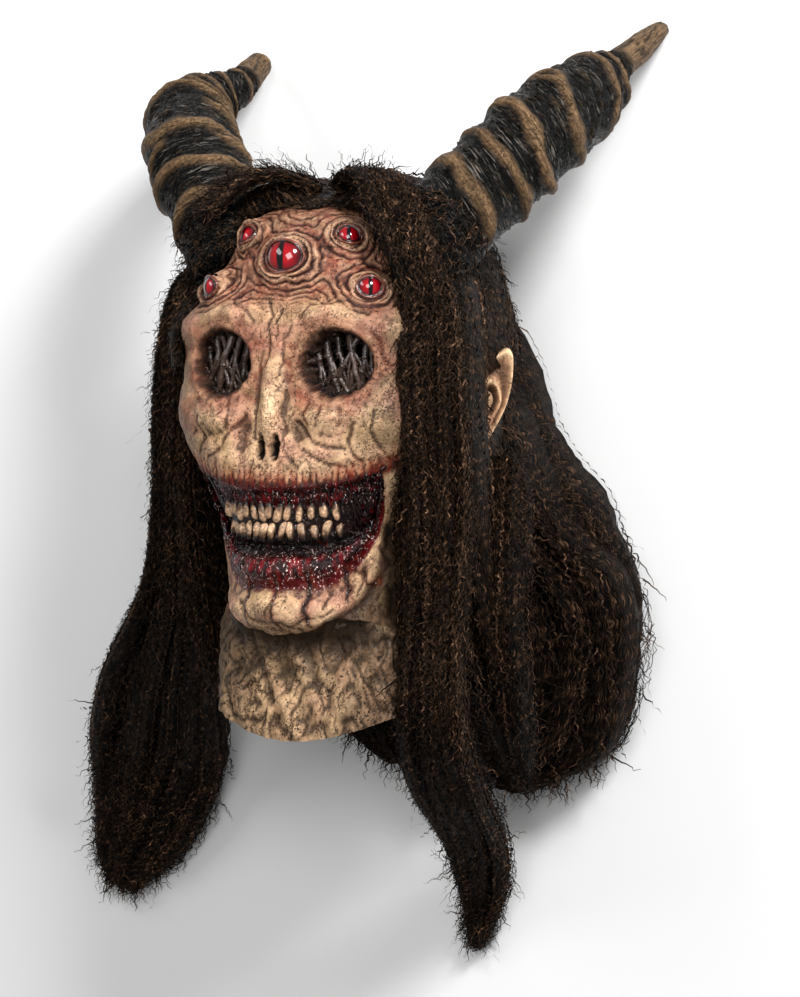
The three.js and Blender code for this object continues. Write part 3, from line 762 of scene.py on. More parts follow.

# Drawn creases: depth, width, and places across and up the face.
CREASES = [
    [1.6, 1.5, [(-7, 42), (-4, 34), (-6, 26), (-3, 15), (-5, 6)]],
    [1.5, 1.3, [(3, 38), (0, 30), (2, 23)]],
    [0.9, 1.2, [(9, 30), (6, 20), (7, 8), (4, -2)]],
    [1.2, 1.8, [(-9, -12), (-9, -28), (-8, -46), (-13, -58)]],
    [1.4, 1.8, [(10, -10), (10, -28), (12, -44), (18, -56)]],
    [2.0, 2.2, [(18, -30), (27, -38), (36, -44), (49, -46)]],
    [1.4, 1.7, [(22, -44), (31, -52), (44, -55)]],
    [1.8, 1.7, [(52, -28), (50, -38), (53, -50)]],
    [1.3, 1.6, [(63, -20), (61, -34), (66, -44)]],
    [1.2, 1.5, [(32, -17), (34, -24), (31, -30)]],
    [1.2, 1.5, [(44, -16), (46, -23)]],
    [1.1, 1.5, [(24, -14), (22, -22), (25, -28)]],
    [1.5, 2.0, [(-19, -24), (-25, -34), (-32, -46), (-46, -50)]],
    [1.2, 1.6, [(-30, -18), (-32, -28), (-29, -38)]],
    [1.3, 1.7, [(-52, -26), (-49, -38), (-53, -48)]],
    [1.2, 1.5, [(-42, -17), (-41, -25)]],
    [1.4, 1.8, [(60, 26), (66, 18), (68, 6)]],
    [1.2, 1.5, [(30, 44), (44, 42), (56, 36)]],
    [1.2, 1.5, [(-28, 44), (-42, 42), (-54, 37)]],
    [1.0, 1.4, [(16, 32), (22, 40), (34, 45)]],
    [1.0, 1.4, [(-15, 30), (-21, 38), (-32, 43)]],
    [1.6, 2.0, [(-24, -136), (-8, -148), (14, -150), (34, -142)]],
    [1.3, 1.6, [(28, -120), (34, -130), (30, -140)]],
    [1.5, 1.8, [(40, -112), (47, -122), (44, -134)]],
    [1.3, 1.7, [(54, -104), (58, -116), (56, -126)]],
    [1.2, 1.6, [(2, -128), (6, -136), (1, -142)]],
    [1.2, 1.6, [(-18, -122), (-16, -134), (-22, -142)]],
]
# Tendons down the neck: height, width, places.
TENDONS = [
    [3.2, 5.0, [(-24, -160), (-14, -186), (2, -212), (10, -226)]],
    [2.4, 4.0, [(-6, -158), (6, -180), (20, -206)]],
    [3.0, 5.5, [(58, -152), (46, -178), (30, -208), (26, -222)]],
    [2.6, 4.5, [(-52, -158), (-56, -186), (-50, -214)]],
    [2.0, 4.0, [(72, -150), (66, -184), (60, -210)]],
]
# Blood that ran down the chin: half width, place across at the lip and at the end, end height.
DRIPS = [
    [1.1, -16, -17.5, -150],
    [1.0, 5, 3.5, -154],
    [1.5, 22, 22, -152],
    [1.1, 38.5, 40.5, -136],
    [1.0, 46, 47.5, -128],
    [0.8, -31, -33, -132],
]
DRIP_TOP = -118.0


def from_line(points, line):
    """The distance, across and up the face, from a bent line."""
    xy = points[..., :2]
    nearest = np.full(xy.shape[:-1], 1e9)
    for start, end in zip(line, line[1:]):
        start, run = np.array(start, float), np.subtract(end, start).astype(float)
        t = np.clip(((xy - start) @ run) / (run @ run), 0, 1)
        nearest = np.minimum(nearest, length(xy - start - t[..., None] * run))
    return nearest


SOCKET = {"x": 38.5, "y": 5.5, "wide": 20.5, "high": 19.5, "hole": 12, "back": 55, "wall": 7}
JAW = {"top": -88, "wide": 55, "high": 69.5, "power": 2.3, "gap": 6.5}
# Ropes across a socket: where on the rim each starts and ends, in degrees, how thick it is and how it bows.
SINEWS = [
    (126, -100, 2.4, 1.0),
    (108, -84, 1.7, 2.5),
    (90, -66, 2.3, 3.5),
    (70, -104, 1.6, 4.2),
    (54, -58, 2.1, 1.5),
    (150, -132, 2.1, 0.0),
    (34, -36, 1.7, 0.0),
    (168, -160, 1.5, -1.0),
]
SINEW_STEPS, SINEW_SIDES = 18, 8
NOSTRIL = {"x": 4.7, "y": -44, "wide": 3.0, "high": 8.2, "deep": 9}
LID_FOLD = 4.3


def socket_share(points):
    """How far from the middle of its socket a point is, 1 at the uneven rim."""
    across = (np.abs(points[..., 0]) - SOCKET["x"]) / SOCKET["wide"]
    share = np.hypot(across, (points[..., 1] - SOCKET["y"]) / SOCKET["high"])
    return share + 0.07 * noise(points, 8, 30) + 0.035 * noise(points, 3.5, 31)


def beyond_jaw(points):
    """How far outside the jaw's line a point is, as a share of its size."""
    across = np.abs(points[..., 0]) / JAW["wide"]
    down = np.maximum(0, JAW["top"] - points[..., 1]) / JAW["high"]
    return (across ** JAW["power"] + down ** JAW["power"]) ** (1 / JAW["power"]) - 1


def folds_round_eyes(points):
    """How far a point is from all the eyes' lids, levelled between them."""
    softness = 3.2
    total = sum(np.exp(-np.clip(eye.beyond_lid(points)[0], -3, 90) / softness) for eye in eyes)
    return -softness * np.log(np.maximum(total, 1e-12))


def relief(points):
    """How far the carving stands out of the plain head, and the masks that its paint follows."""
    x, y, z = np.moveaxis(points, -1, 0)
    front = smooth(-20, 20, z)
    warped = points + drift(points, 13, 5) * 3.0
    h = np.zeros(x.shape)
    # Lumps and pits everywhere
    h += 0.8 * noise(points, 17, 1) + 0.45 * noise(points, 8, 2) + 0.2 * noise(points, 4, 3)
    h += 0.1 * noise(points, 2.3, 4)
    # Lids: folds that run round the eyes
    away = folds_round_eyes(points)
    near = np.maximum(smooth(36, 50, y), 1 - smooth(7, 15, away)) * front
    bent = away * (1 + 0.25 * noise(points, 27, 33)) + 2.0 * noise(points, 12, 8) + noise(points, 5, 9)
    wave = np.abs(np.sin(math.pi * bent / LID_FOLD))
    fold = wave**0.6
    deep = np.clip(0.85 + 0.9 * noise(points, 9, 10), 0.2, 1.5)
    fold_line = near * np.clip(deep, 0, 1) * smooth(0.4, 0.1, wave) * smooth(0.5, 2.5, away)
    h += near * (2.5 * deep * (fold - 0.74)) * np.exp(-np.maximum(away, 0) / 40) * smooth(103, 90, y)
    h += near * 1.7 * valley(away - 3.0, 2.4)
    fine = np.abs(noise(warped * [1, 0.45, 1], 3.4, 11)) ** 0.7
    h += near * 0.35 * (fine - 0.4)
    # Drawn creases, and wandering ones
    drawn = np.zeros(x.shape)
    for depth, width, line in CREASES:
        drawn = np.maximum(drawn, depth * valley(from_line(warped, line), 0.72 * width))
    h -= 0.85 * front * drawn
    below_eyes = smooth(44, 30, y) * front
    wander = valley(noise(warped, 21, 12), 0.035) + 0.6 * valley(noise(warped, 12, 13), 0.05)
    cheeks = band(y, -150, -135, -26, -14)
    h -= below_eyes * (0.3 + 0.4 * cheeks) * wander * smooth(0.1, 0.5, noise(points, 24, 14))
    h += 0.7 * cheeks * front * (np.abs(noise(points, 11, 15)) ** 0.7 - 0.3)
    # The rim of each socket: knobbly above, torn into short folds below
    side = np.abs(x)
    around = socket_share(points)
    bearing = np.arctan2(y - SOCKET["y"], side - SOCKET["x"])
    rim = valley(around - 1.08, 0.16) * front
    notches = np.sin(bearing * 17 + 3 * noise(points, 12, 16)) * 0.5 + noise(points, 5, 17)
    h += rim * (1.1 + 0.9 * notches * smooth(0.5, -0.3, np.sin(bearing)))
    in_socket = smooth(1.04, 0.95, around) * front
    ribs = np.sin(bearing * 15 + 4 * noise(points, 9, 18))
    h += in_socket * (1.5 * ribs + 1.4 * noise(points, 4, 19))
    # Lips, gums and the torn corners of the mouth
    down, opening = mouth_share(x, y)
    is_open = smooth(3, 12, opening) * front
    above = y - mouth_top(x)
    over_lip = band(above, -2, 0.5, 2, 15) * smooth(72, 60, side) * front
    comb = valley(np.sin(math.pi * (x + 1.2 * noise(points, 6, 20)) / 3.9), 0.3)
    h -= over_lip * 1.4 * comb * (0.7 + 0.5 * noise(points, 7, 21))
    in_mouth = band(down, -0.03, 0.03, 1.02, 1.1) * is_open
    lower_lip = band(down, 0.7, 0.78, 1.0, 1.08) * is_open
    fibres = np.abs(noise(points * [1, 0.22, 0.5], 2.9, 22))
    h += lower_lip * (1.5 * fibres - 0.5)
    gum = band(down, 0.0, 0.04, 0.2, 0.3) * is_open
    h += gum * (1.6 * np.abs(noise(points * [1, 0.6, 1], 4.2, 23)) - 0.5)
    corner = smooth(40, 46, side) * in_mouth
    h += corner * (2.4 * np.abs(noise(points * [1, 0.35, 1], 4.0, 24)) - 0.9)
    # The jaw stands clear of the neck
    beyond = beyond_jaw(points)
    jaw_gap = band(beyond, -0.03, 0.07, 0.2, 0.7) * smooth(-84, -98, y) * front
    h -= JAW["gap"] * jaw_gap
    # Chin and neck
    chin = band(y, -158, -148, -124, -112) * front
    h += chin * 1.6 * (np.abs(noise(points, 13, 25)) - 0.25)
    neck = smooth(-146, -160, y)
    lumps = 1 - np.abs(noise(warped, 21, 26)) * 2
    h += neck * (2.4 * lumps - 0.9 + 1.5 * noise(warped, 9, 27))
    h -= neck * 1.4 * (valley(noise(warped, 16, 28), 0.06) + valley(noise(warped, 27, 29), 0.05))
    h += neck * 1.9 * (np.abs(noise(warped * [1, 0.6, 1], 9, 30)) ** 0.7 - 0.42)
    h += neck * 0.5 * (np.abs(noise(warped, 4, 31)) ** 0.7 - 0.42)
    for high, width, line in TENDONS:
        h += neck * high * valley(from_line(points, line), width)
    # Keep to the wall at the hem
    h *= smooth(-226, -214, y) * 0.75 + 0.25
    masks = SimpleNamespace(
        near=near,
        fold_line=fold_line,
        comb=over_lip * comb,
        front=front,
        socket=in_socket,
        ribs=ribs,
        mouth=in_mouth,
        lower_lip=lower_lip,
        gum=gum,
        corner=corner,
        above=above,
        down=down,
        open=is_open,
        neck=neck,
        jaw_gap=jaw_gap,
    )
    return h, masks


def shape_lids(points):
    """The skin wraps each eye: it sinks under the eye and closes on it round the lid's opening."""
    points = points.copy()
    for eye in eyes:
        away, share, w = eye.beyond_lid(points)
        u, v, _ = eye.seen(points)
        reach = np.minimum(np.hypot(u, v), eye.radius * 0.985)
        ball = np.sqrt(eye.radius**2 - reach**2)
        near = (w > -eye.radius) & (length(points - eye.centre) < eye.radius * 3)
        under = smooth(1.02, 0.9, share)
        closing = (1 - smooth(0, 5.5, away)) * (1 - under)
        target = w + (ball + 1.1 - w) * closing
        target = mix(target, ball - 2.2, under)
        points += np.where(near, target - w, 0)[..., None] * eye.look
    return points


def surface_normals(points):
    """Unit normals of a grid of points, (row, column, xyz), whose columns close."""
    across = np.roll(points, -1, 1) - np.roll(points, 1, 1)
    return unit(np.cross(across, np.gradient(points, axis=0)))


def hollowness(points, normals, reach):
    """How concave a grid is over some cells: above 0 in creases and hollows."""
    rows = np.arange(len(points))
    up = points[np.minimum(rows + reach, len(points) - 1)]
    down = points[np.maximum(rows - reach, 0)]
    around = (np.roll(points, reach, 1) + np.roll(points, -reach, 1) + up + down) / 4
    return ((around - points) * normals).sum(-1)


SKIN_COLUMNS = 378
SKIN_ROWS = 370
SPLIT_SHARE = 0.5  # of the rows are in the lower piece
EARS_ROW, MOUTH_ROW = 18.0, 9.0


def head_angles(count):
    """Angles round the head, evenly spaced in front and wider apart behind."""
    angle = np.linspace(-math.pi, math.pi, SAMPLES)
    at_ears, at_mouth = (plain_head(np.full(SAMPLES, row), angle) for row in (EARS_ROW, MOUTH_ROW))
    ring = (at_ears + at_mouth) / 2
    step = length(np.diff(ring, axis=0))
    middle = (angle[1:] + angle[:-1]) / 2
    step = step * mix(0.25, 1, smooth(2.1, 1.75, np.abs(middle)))
    total = run_of(step)
    return np.interp(np.arange(count) / count * total[-1], total, angle)


def head_places(count):
    """Places up the head, closest on the brow."""
    where = np.linspace(0, LAST_ROW - 0.03, SAMPLES)
    line = plain_head(where, np.full(SAMPLES, 0.6))
    step = length(np.diff(line, axis=0))
    height = (line[1:, 1] + line[:-1, 1]) / 2
    step = step * (0.72 + 0.28 * smooth(-160, -140, height) + 0.45 * smooth(22, 36, height))
    total = run_of(step)
    return np.interp(np.linspace(0, total[-1], count), total, where)


def paint_skin(points, normals, masks):
    """Colour, wetness and how veined each point is."""
    x, y = points[..., 0], points[..., 1]
    tight = hollowness(points, normals, 2)
    wide = hollowness(points, normals, 7)
    broad = hollowness(points, normals, 18)
    crease = np.clip(smooth(0.03, 0.34, tight) + 0.55 * smooth(0.3, 1.8, wide), 0, 1)
    ridge = smooth(0.0, -0.35, tight) * 0.5 + smooth(-0.1, -1.4, wide) * 0.5

    def over(base, paint, share):
        return mix(base, paint, np.clip(share, 0, 1)[..., None])

    def paint(layer, share):
        nonlocal tint
        tint = over(tint, layer, share)

    tint = over(BONE_WARM, BONE, 0.55 + 0.5 * noise(points, 26, 40))
    paint(OCHRE, 0.6 * smooth(0.05, 0.6, noise(points, 19, 53)))
    # Painted highlight: paler on ridges
    paint(BONE * 1.06, ridge * 0.7)
    rosy = masks.near * (0.85 + 0.3 * noise(points, 14, 41))
    paint(PINK, 0.6 * smooth(-0.05, 0.5, noise(points, 20, 42)) * masks.front)
    paint(ROSY, rosy)
    # Painted highlight: pale pink on the ridges round the eyes
    paint(mix(PINK, BONE, 0.65), masks.near * ridge * 0.95)
    # Painted shade: darker in broad hollows and in creases, redder near the eyes, and along the valleys of
    # the folds round the eyes
    paint(WASH_AND_SHADE, 0.4 * smooth(0.8, 5, broad))
    crease_shade = over(WASH_AND_SHADE, RED_WASH_AND_SHADE, masks.near)
    bony = (1 - masks.near) * (1 - masks.neck) * masks.front
    paint(crease_shade, (0.97 - 0.12 * bony) * crease)
    paint(RED_WASH_AND_SHADE, 0.85 * masks.fold_line)
    stain = smooth(0.1, 0.75, noise(points, 12, 43) + 0.5 * noise(points, 5, 44))
    paint(WASH_AND_SHADE, 0.26 * stain * (1 - 0.6 * masks.neck))
    # Neck: greyer and darker, with painted shade in its creases, some stains, and a painted shadow under
    # the jaw, darkest under the chin
    paint(NECK * (0.55 + 0.45 * tint.mean(-1, keepdims=True) / BONE.mean()), masks.neck * 0.7)
    paint(NECK_DARK, masks.neck * (0.66 * crease + 0.08 * stain))
    paint(NECK_DARK * 0.6, 0.85 * masks.jaw_gap * smooth(-178, -158, y))
    # Painted highlight on the tip of the nose
    tip = length((points - [-2, -24, 118]) / [12, 19, 16])
    paint(BONE * 1.22, 0.85 * smooth(1.1, 0.4, tip) * (1 - crease))
    # Painted shade towards the hair at the sides and the top of the brow, and down the sides of the neck
    painted_shade = 0.5 * smooth(44, 74, np.abs(x)) + 0.36 * masks.neck * smooth(12, 46, np.abs(x))
    painted_shade += 0.18 * smooth(70, 92, y) * masks.front
    tint = tint * (1 - np.clip(painted_shade, 0, 0.8))[..., None]
    paint(HAIR_DARK * 1.6, 0.94 * scalp(points))
    # Sockets and nostrils
    rim = socket_share(points)
    flush = smooth(1.75, 1.15, rim + 0.25 * noise(points, 7, 58)) * masks.front
    paint(ROSY, 0.62 * flush)
    raw = smooth(0.2, 0.65, noise(points, 12, 65) + 0.5 * noise(points, 4, 66)) * smooth(2.6, 1.2, rim)
    paint(LIP_BLEED * 0.7, 0.5 * raw * masks.front * (1 - masks.near))
    # Painted shade: darkening over the rim into each socket, near black inside it
    paint(RED_WASH_AND_SHADE, 0.8 * smooth(1.16, 1.03, rim + 0.1 * noise(points, 3, 59)) * masks.front)
    paint(PIT, smooth(1.04, 0.95, rim) * masks.front)
    paint(SINEW, 0.8 * masks.socket * smooth(0.1, 0.9, masks.ribs))
    # Painted shade in the nostrils
    paint(PIT, smooth(0.05, 0.3, nostril_share(points)))
    # Mouth
    above = masks.above
    # Painted shade in the grooves above the lip
    paint(WASH_AND_SHADE, 0.8 * masks.comb)
    bleed = band(above, -4, 0, 1, 13 + 5 * noise(points * [1, 0.4, 1], 4, 45))
    bleed *= smooth(80, 66, np.abs(x)) * masks.front * smooth(-90, -75, y)
    streaky = 0.75 + 0.5 * noise(points * [1, 0.25, 1], 3, 46)
    paint(LIP_BLEED, bleed * streaky)
    ragged_edge = above - 5 * np.abs(noise(points * [1, 0.25, 1], 2.6, 57))
    paint(BLOOD_DARK, 0.9 * bleed * smooth(3.0, -0.5, ragged_edge))
    paint(mix(BLOOD, LIP_BLEED, 0.3) * 0.8, smooth(0.62, 1.0, bleed * streaky))
    paint(BLOOD_DARK, 0.8 * masks.comb * smooth(0.2, 0.8, bleed))
    wet_red = over(BLOOD_DARK, BLOOD, 0.5 + 0.9 * noise(points, 6, 47))
    paint(wet_red, masks.mouth)
    paint(GUM, masks.gum * smooth(0.0, 0.5, noise(points, 7, 48)) * 0.8)
    lip = over(BLOOD, GUM, ridge)
    lip = over(lip, BLOOD_DARK, smooth(-0.35, 0.3, noise(points * [1, 0.35, 0.5], 3.2, 55)))
    paint(lip, masks.lower_lip * 0.95)
    down = masks.down
    # Painted shade: near black behind the teeth
    dark_gap = band(down, 0.16, 0.26, 0.68, 0.78) * masks.open
    paint(PIT, dark_gap * 0.93)
    paint(BLOOD_DARK * 0.7, masks.corner * 0.75)
    # Painted shade in the mouth's creases
    paint(BLOOD_DARK * 0.25, masks.mouth * crease * 0.9)
    paint(GUM * 0.8, 0.8 * masks.corner * smooth(0.25, 0.6, noise(points, 4.5, 64)))
    ragged = down + 0.05 * noise(points * [1, 0.3, 1], 3.5, 56)
    edge = band(ragged, 0.9, 1.0, 1.04, 1.15) * masks.open * (1 - masks.jaw_gap)
    paint(BLOOD * 0.8, edge * (0.9 + 0.4 * noise(points, 4, 49)))
    wet = np.clip(masks.mouth * (1 - 0.45 * dark_gap) + edge * 0.9 + 0.6 * masks.socket, 0, 1)
    # Drips
    wobble = 0.7 * noise(points * [0.3, 1, 0.3], 6, 50) + 0.4 * noise(points * [0.3, 1, 0.3], 2.5, 51)
    for half, start, end, bottom in DRIPS:
        share = np.clip((DRIP_TOP - y) / (DRIP_TOP - bottom), 0, 1)
        line = mix(start, end, share) + wobble
        wide_here = half * (1.1 - 0.45 * share + 0.25 * noise(points, 4, 52))
        off, below_lip = np.abs(x - line), smooth(-112, -119, y)
        run = smooth(wide_here + 0.55, wide_here - 0.35, off)
        run *= smooth(bottom - 1.5, bottom + 1, y) * below_lip * masks.front
        stained = smooth(wide_here + 2.2, wide_here, off) * smooth(bottom - 2, bottom + 2, y)
        stained *= below_lip * masks.front
        paint(LIP_BLEED * 0.7, stained * 0.4)
        paint(BLOOD_DARK, run * 0.96)
        wet = np.maximum(wet, run)
    veined = np.clip(0.85 + 0.4 * masks.neck - masks.mouth - masks.socket, 0, 1.3)
    veined *= np.maximum(masks.front, masks.neck)
    return tint, wet, veined


def scalp(points):
    """1 where hair covers the latex behind and below the ears."""
    y, z = points[..., 1], points[..., 2]
    behind_ear, below_ear = smooth(3, -6, z), smooth(26, 10, z) * smooth(-44, -54, y)
    return np.maximum(behind_ear, below_ear) * smooth(-150, -126, y)


def nostril_share(points):
    """1 in the nostrils, 0 outside them."""
    side = np.abs(points[..., 0])
    x, y = side - NOSTRIL["x"], points[..., 1] - NOSTRIL["y"]
    wide = NOSTRIL["wide"] * (1 - 0.25 * y / NOSTRIL["high"])
    share = np.hypot(x / wide, y / NOSTRIL["high"])
    return smooth(1.1, 0.6, share) * (points[..., 2] > 60)


def in_socket_hole(points):
    off = np.hypot(np.abs(points[:, 0]) - SOCKET["x"], points[:, 1] - SOCKET["y"])
    return (off < SOCKET["hole"]) & (points[:, 2] > SOCKET["back"])


def one_paint(count, paint, wet):
    """The attributes of latex in one colour, without veins."""
    tint = np.broadcast_to(paint, (count, 3))
    return {"tint": tint, "wet": np.full(count, wet), "veined": np.zeros(count)}


def socket_walls(flat, quads, hole):
    """Sets the edge of each socket's hole on a circle and adds a short wall behind it."""
    walls = []
    edges = np.intersect1d(quads[~hole], quads[hole])
    for side in (-1, 1):
        edge = edges[flat[edges, 0] * side > 0]
        axis = np.array([side * SOCKET["x"], SOCKET["y"]])
        away = flat[edge, :2] - axis
        flat[edge, :2] = axis + unit(away) * SOCKET["hole"]
        ring = flat[edge[np.argsort(np.arctan2(away[:, 1], away[:, 0]))]]
        faces = grid_quads(2, len(ring))
        rings = np.stack([ring - [0, 0, SOCKET["wall"]], ring])
        # The wall is painted near black: painted shade inside the hole
        walls.append((rings, [faces, faces[:, ::-1]], one_paint(2 * len(ring), PIT, 1.0)))
    return walls


def skin():
    angles = head_angles(SKIN_COLUMNS)
    where, angle = np.meshgrid(head_places(SKIN_ROWS), angles, indexing="ij")
    plain = head(where, angle)
    h, masks = relief(plain)
    points = plain + surface_normals(plain) * h[..., None]
    points[..., 2] -= NOSTRIL["deep"] * nostril_share(plain)
    points = shape_lids(points)
    normals = surface_normals(points)
    tint, wet, veined = paint_skin(points, normals, masks)
    quads = grid_quads(SKIN_ROWS, SKIN_COLUMNS)
    flat = points.reshape(-1, 3)
    hole = in_socket_hole(flat[quads].mean(1))
    walls = socket_walls(flat, quads, hole)
    quads = quads[~hole]
    hem = np.stack([plain_head(np.zeros(SKIN_COLUMNS), angles, -WALL), flat[:SKIN_COLUMNS]])
    hem = (hem, [grid_quads(2, SKIN_COLUMNS)], one_paint(2 * SKIN_COLUMNS, NECK * 0.8, 0.0))
    crown_cap = ((SKIN_ROWS - 1) * SKIN_COLUMNS + np.arange(SKIN_COLUMNS))[None]
    split = int(SKIN_ROWS * SPLIT_SHARE)
    material = skin_material()
    for name, low, high, caps, others, way in (
        ("skin_lower", 0, split + 1, [], [hem], [0, -1.0, 0]),
        ("skin_upper", split, SKIN_ROWS, [crown_cap], walls, [0, 0, 1.0]),
    ):
        mine = slice(low * SKIN_COLUMNS, high * SKIN_COLUMNS)
        inside_it = (quads.min(1) >= mine.start) & (quads.max(1) < mine.stop)
        faces = [corners - mine.start for corners in (quads[inside_it], *caps)]
        attributes = {
            "tint": tint.reshape(-1, 3)[mine],
            "wet": wet.ravel()[mine],
            "veined": veined.ravel()[mine],
        }
        extra = sum(part[0].size // 3 for part in others)
        directions = np.concatenate([normals.reshape(-1, 3)[mine], np.tile(way, (extra, 1))])
        parts = [(flat[mine], faces, attributes), *others]
        add_piece(name, parts, material, "latex_skin", "mask_skin", normals=directions)


def inside():
    """The hollow inside, open at the hem and behind the sockets."""
    rows, columns = INSIDE_ROWS, INSIDE_COLUMNS
    places = np.linspace(0, LAST_ROW - 0.05, rows)
    where, angle = np.meshgrid(places, head_angles(columns), indexing="ij")
    height = rows_at(HEAD_ROWS, where)[..., 0]
    low = band(height, -218, -196, -104, -80)
    room = WALL + mix(CARVING_ROOM["face"], CARVING_ROOM["neck"], low) * smooth(0, 1.2, where)
    flat = brushed(plain_head(where, angle, -room), INSIDE_BRUSHES).reshape(-1, 3)
    quads = grid_quads(rows, columns)[:, ::-1]
    quads = quads[~in_socket_hole(flat[quads].mean(1))]
    cap = (len(flat) - columns + np.arange(columns))[None, ::-1]
    add_piece("skin_inside", [(flat, [quads, cap], {})], inside_material(), "latex_skin", "mask_skin")


def glass_eye(eye, material):
    rings, around = GLASS["rings"], GLASS["around"]
    polar = np.linspace(0.0, GLASS["reach"], rings)[:, None]
    turn = turns(around)
    out = np.cos(polar) + 0 * turn
    u, v = np.sin(polar) * np.cos(turn), np.sin(polar) * np.sin(turn)
    points = eye.centre + eye.radius * (
        u[..., None] * eye.level + v[..., None] * eye.upright + out[..., None] * eye.look
    )
    away, aside, up = np.hypot(u, v), np.abs(u), np.abs(v)
    slit = PUPIL["slit_half"] * np.sqrt(np.maximum(0, 1 - (v / PUPIL["slit_high"]) ** 2))
    dark = smooth(0.045, -0.02, aside - slit) * (up < PUPIL["slit_high"])
    glow = smooth(0.5, 0.1, np.abs(aside - PUPIL["glow_at"])) * smooth(0.7, 0.2, up)
    tint = mix(EYE_RED, EYE_DARK_RED, smooth(0.3, 0.75, away)[..., None])
    tint = mix(tint, EYE_GLOW, 0.35 * glow[..., None])
    tint = mix(tint, EYE_SLIT, dark[..., None])
    tint = mix(tint, EYE_RIM, smooth(0.74, 0.9, away)[..., None])
    part = points[::-1], [grid_quads(rings, around)], {"tint": tint[::-1]}
    add_piece("glass_" + eye.name, [part], material, "red_eye", eye.name)


def lid_tube(eye, grow, lift, thick, paint):
    """A tube that lies on the eye round its lid's opening."""
    bearing = turns(LID_STEPS)
    lid_u, lid_v = (eye.lid[0] + grow) * np.cos(bearing), (eye.lid[1] + grow) * np.sin(bearing)
    reach = np.minimum(np.hypot(lid_u, lid_v), eye.radius * 0.97)
    w = np.sqrt(eye.radius**2 - reach**2) + lift
    line = eye.centre + (
        lid_u[:, None] * eye.right + lid_v[:, None] * eye.up + w[:, None] * eye.look
    )
    line += 0.3 * noise(line, 3, 60)[:, None] * eye.look
    loop = np.concatenate([line, line[:2]])[None]
    radii = thick * (1 + 0.25 * noise(loop, 4, 61))
    return tubes(loop, radii, LID_SIDES, np.broadcast_to(paint, loop.shape))


def eyeballs():
    """Glass eyes, each in a rolled rim of skin with a dark wet line inside it."""
    material = eye_material()
    for eye in eyes:
        glass_eye(eye, material)
    rims = [lid_tube(eye, *edge) for eye in eyes for edge in LID_EDGES]
    add_piece("eyelid_rims", rims, wet_material("wet lid", 0.3), "latex_skin")


def sinews():
    """Stretched tissue across each socket: ropes that fork, thick where they join the rim."""
    rng = np.random.default_rng(SEED + 1)
    t = np.linspace(0, 1, SINEW_STEPS)
    parts = []

    def on_rim(side, bearing, deep):
        turn = math.radians(bearing)
        x = SOCKET["x"] + (SOCKET["wide"] + 0.5) * math.cos(turn)
        y = SOCKET["y"] + (SOCKET["high"] + 0.5) * math.sin(turn)
        return np.array([side * x, y, deep - 0.07 * abs(x - 28)])

    def rope(ends, radii_ends, bow):
        line = mix(*ends, t[:, None])
        line[:, 2] += bow * np.sin(math.pi * t)
        line += 1.1 * drift(line, 8, 70)
        radii = mix(*radii_ends, t)
        radii = radii * (1 + 0.22 * noise(line, 3.5, 73))
        radii += 1.8 * np.exp(-t / 0.07)
        shade = np.broadcast_to(SINEW * rng.uniform(0.6, 1.4), (1, SINEW_STEPS, 3))
        parts.append(tubes(line[None], np.maximum(radii, 0.3)[None], SINEW_SIDES, shade))
        return line

    for side in (-1, 1):
        for start, end, thick, bow in SINEWS:
            start, end = start + rng.uniform(-6, 6), end + rng.uniform(-6, 6)
            deep = rng.uniform(86, 92)
            ends = on_rim(side, start, deep), on_rim(side, end, deep)
            line = rope(ends, (thick, thick * 0.75), bow)
            # Two forks: from its upper part to the rim beside each end
            for begin, bearing in ((5, end + rng.uniform(16, 30)), (9, end - rng.uniform(14, 32))):
                fork_ends = line[begin], on_rim(side, bearing, deep - rng.uniform(0, 3))
                rope(fork_ends, (thick * 0.5, thick * 0.7), bow * 0.4)
    add_piece("socket_sinews", parts, wet_material("sinew", 0.9), "latex_skin")


TEETH = {"count": 13, "pitch": 5.95, "gap": 0.42, "thick": 2.3, "squareness": 2.8}
TOOTH_ROWS = [(-77.5, -88.6), (-99.5, -88.8)]  # heights of root and tip, upper and lower


def blunted(s, start, span, power):
    """1 along a tooth, falling to 0 at its tip."""
    return np.sqrt(np.maximum(1 - np.clip((s - start) / span, 0, 1) ** power, 0.0))


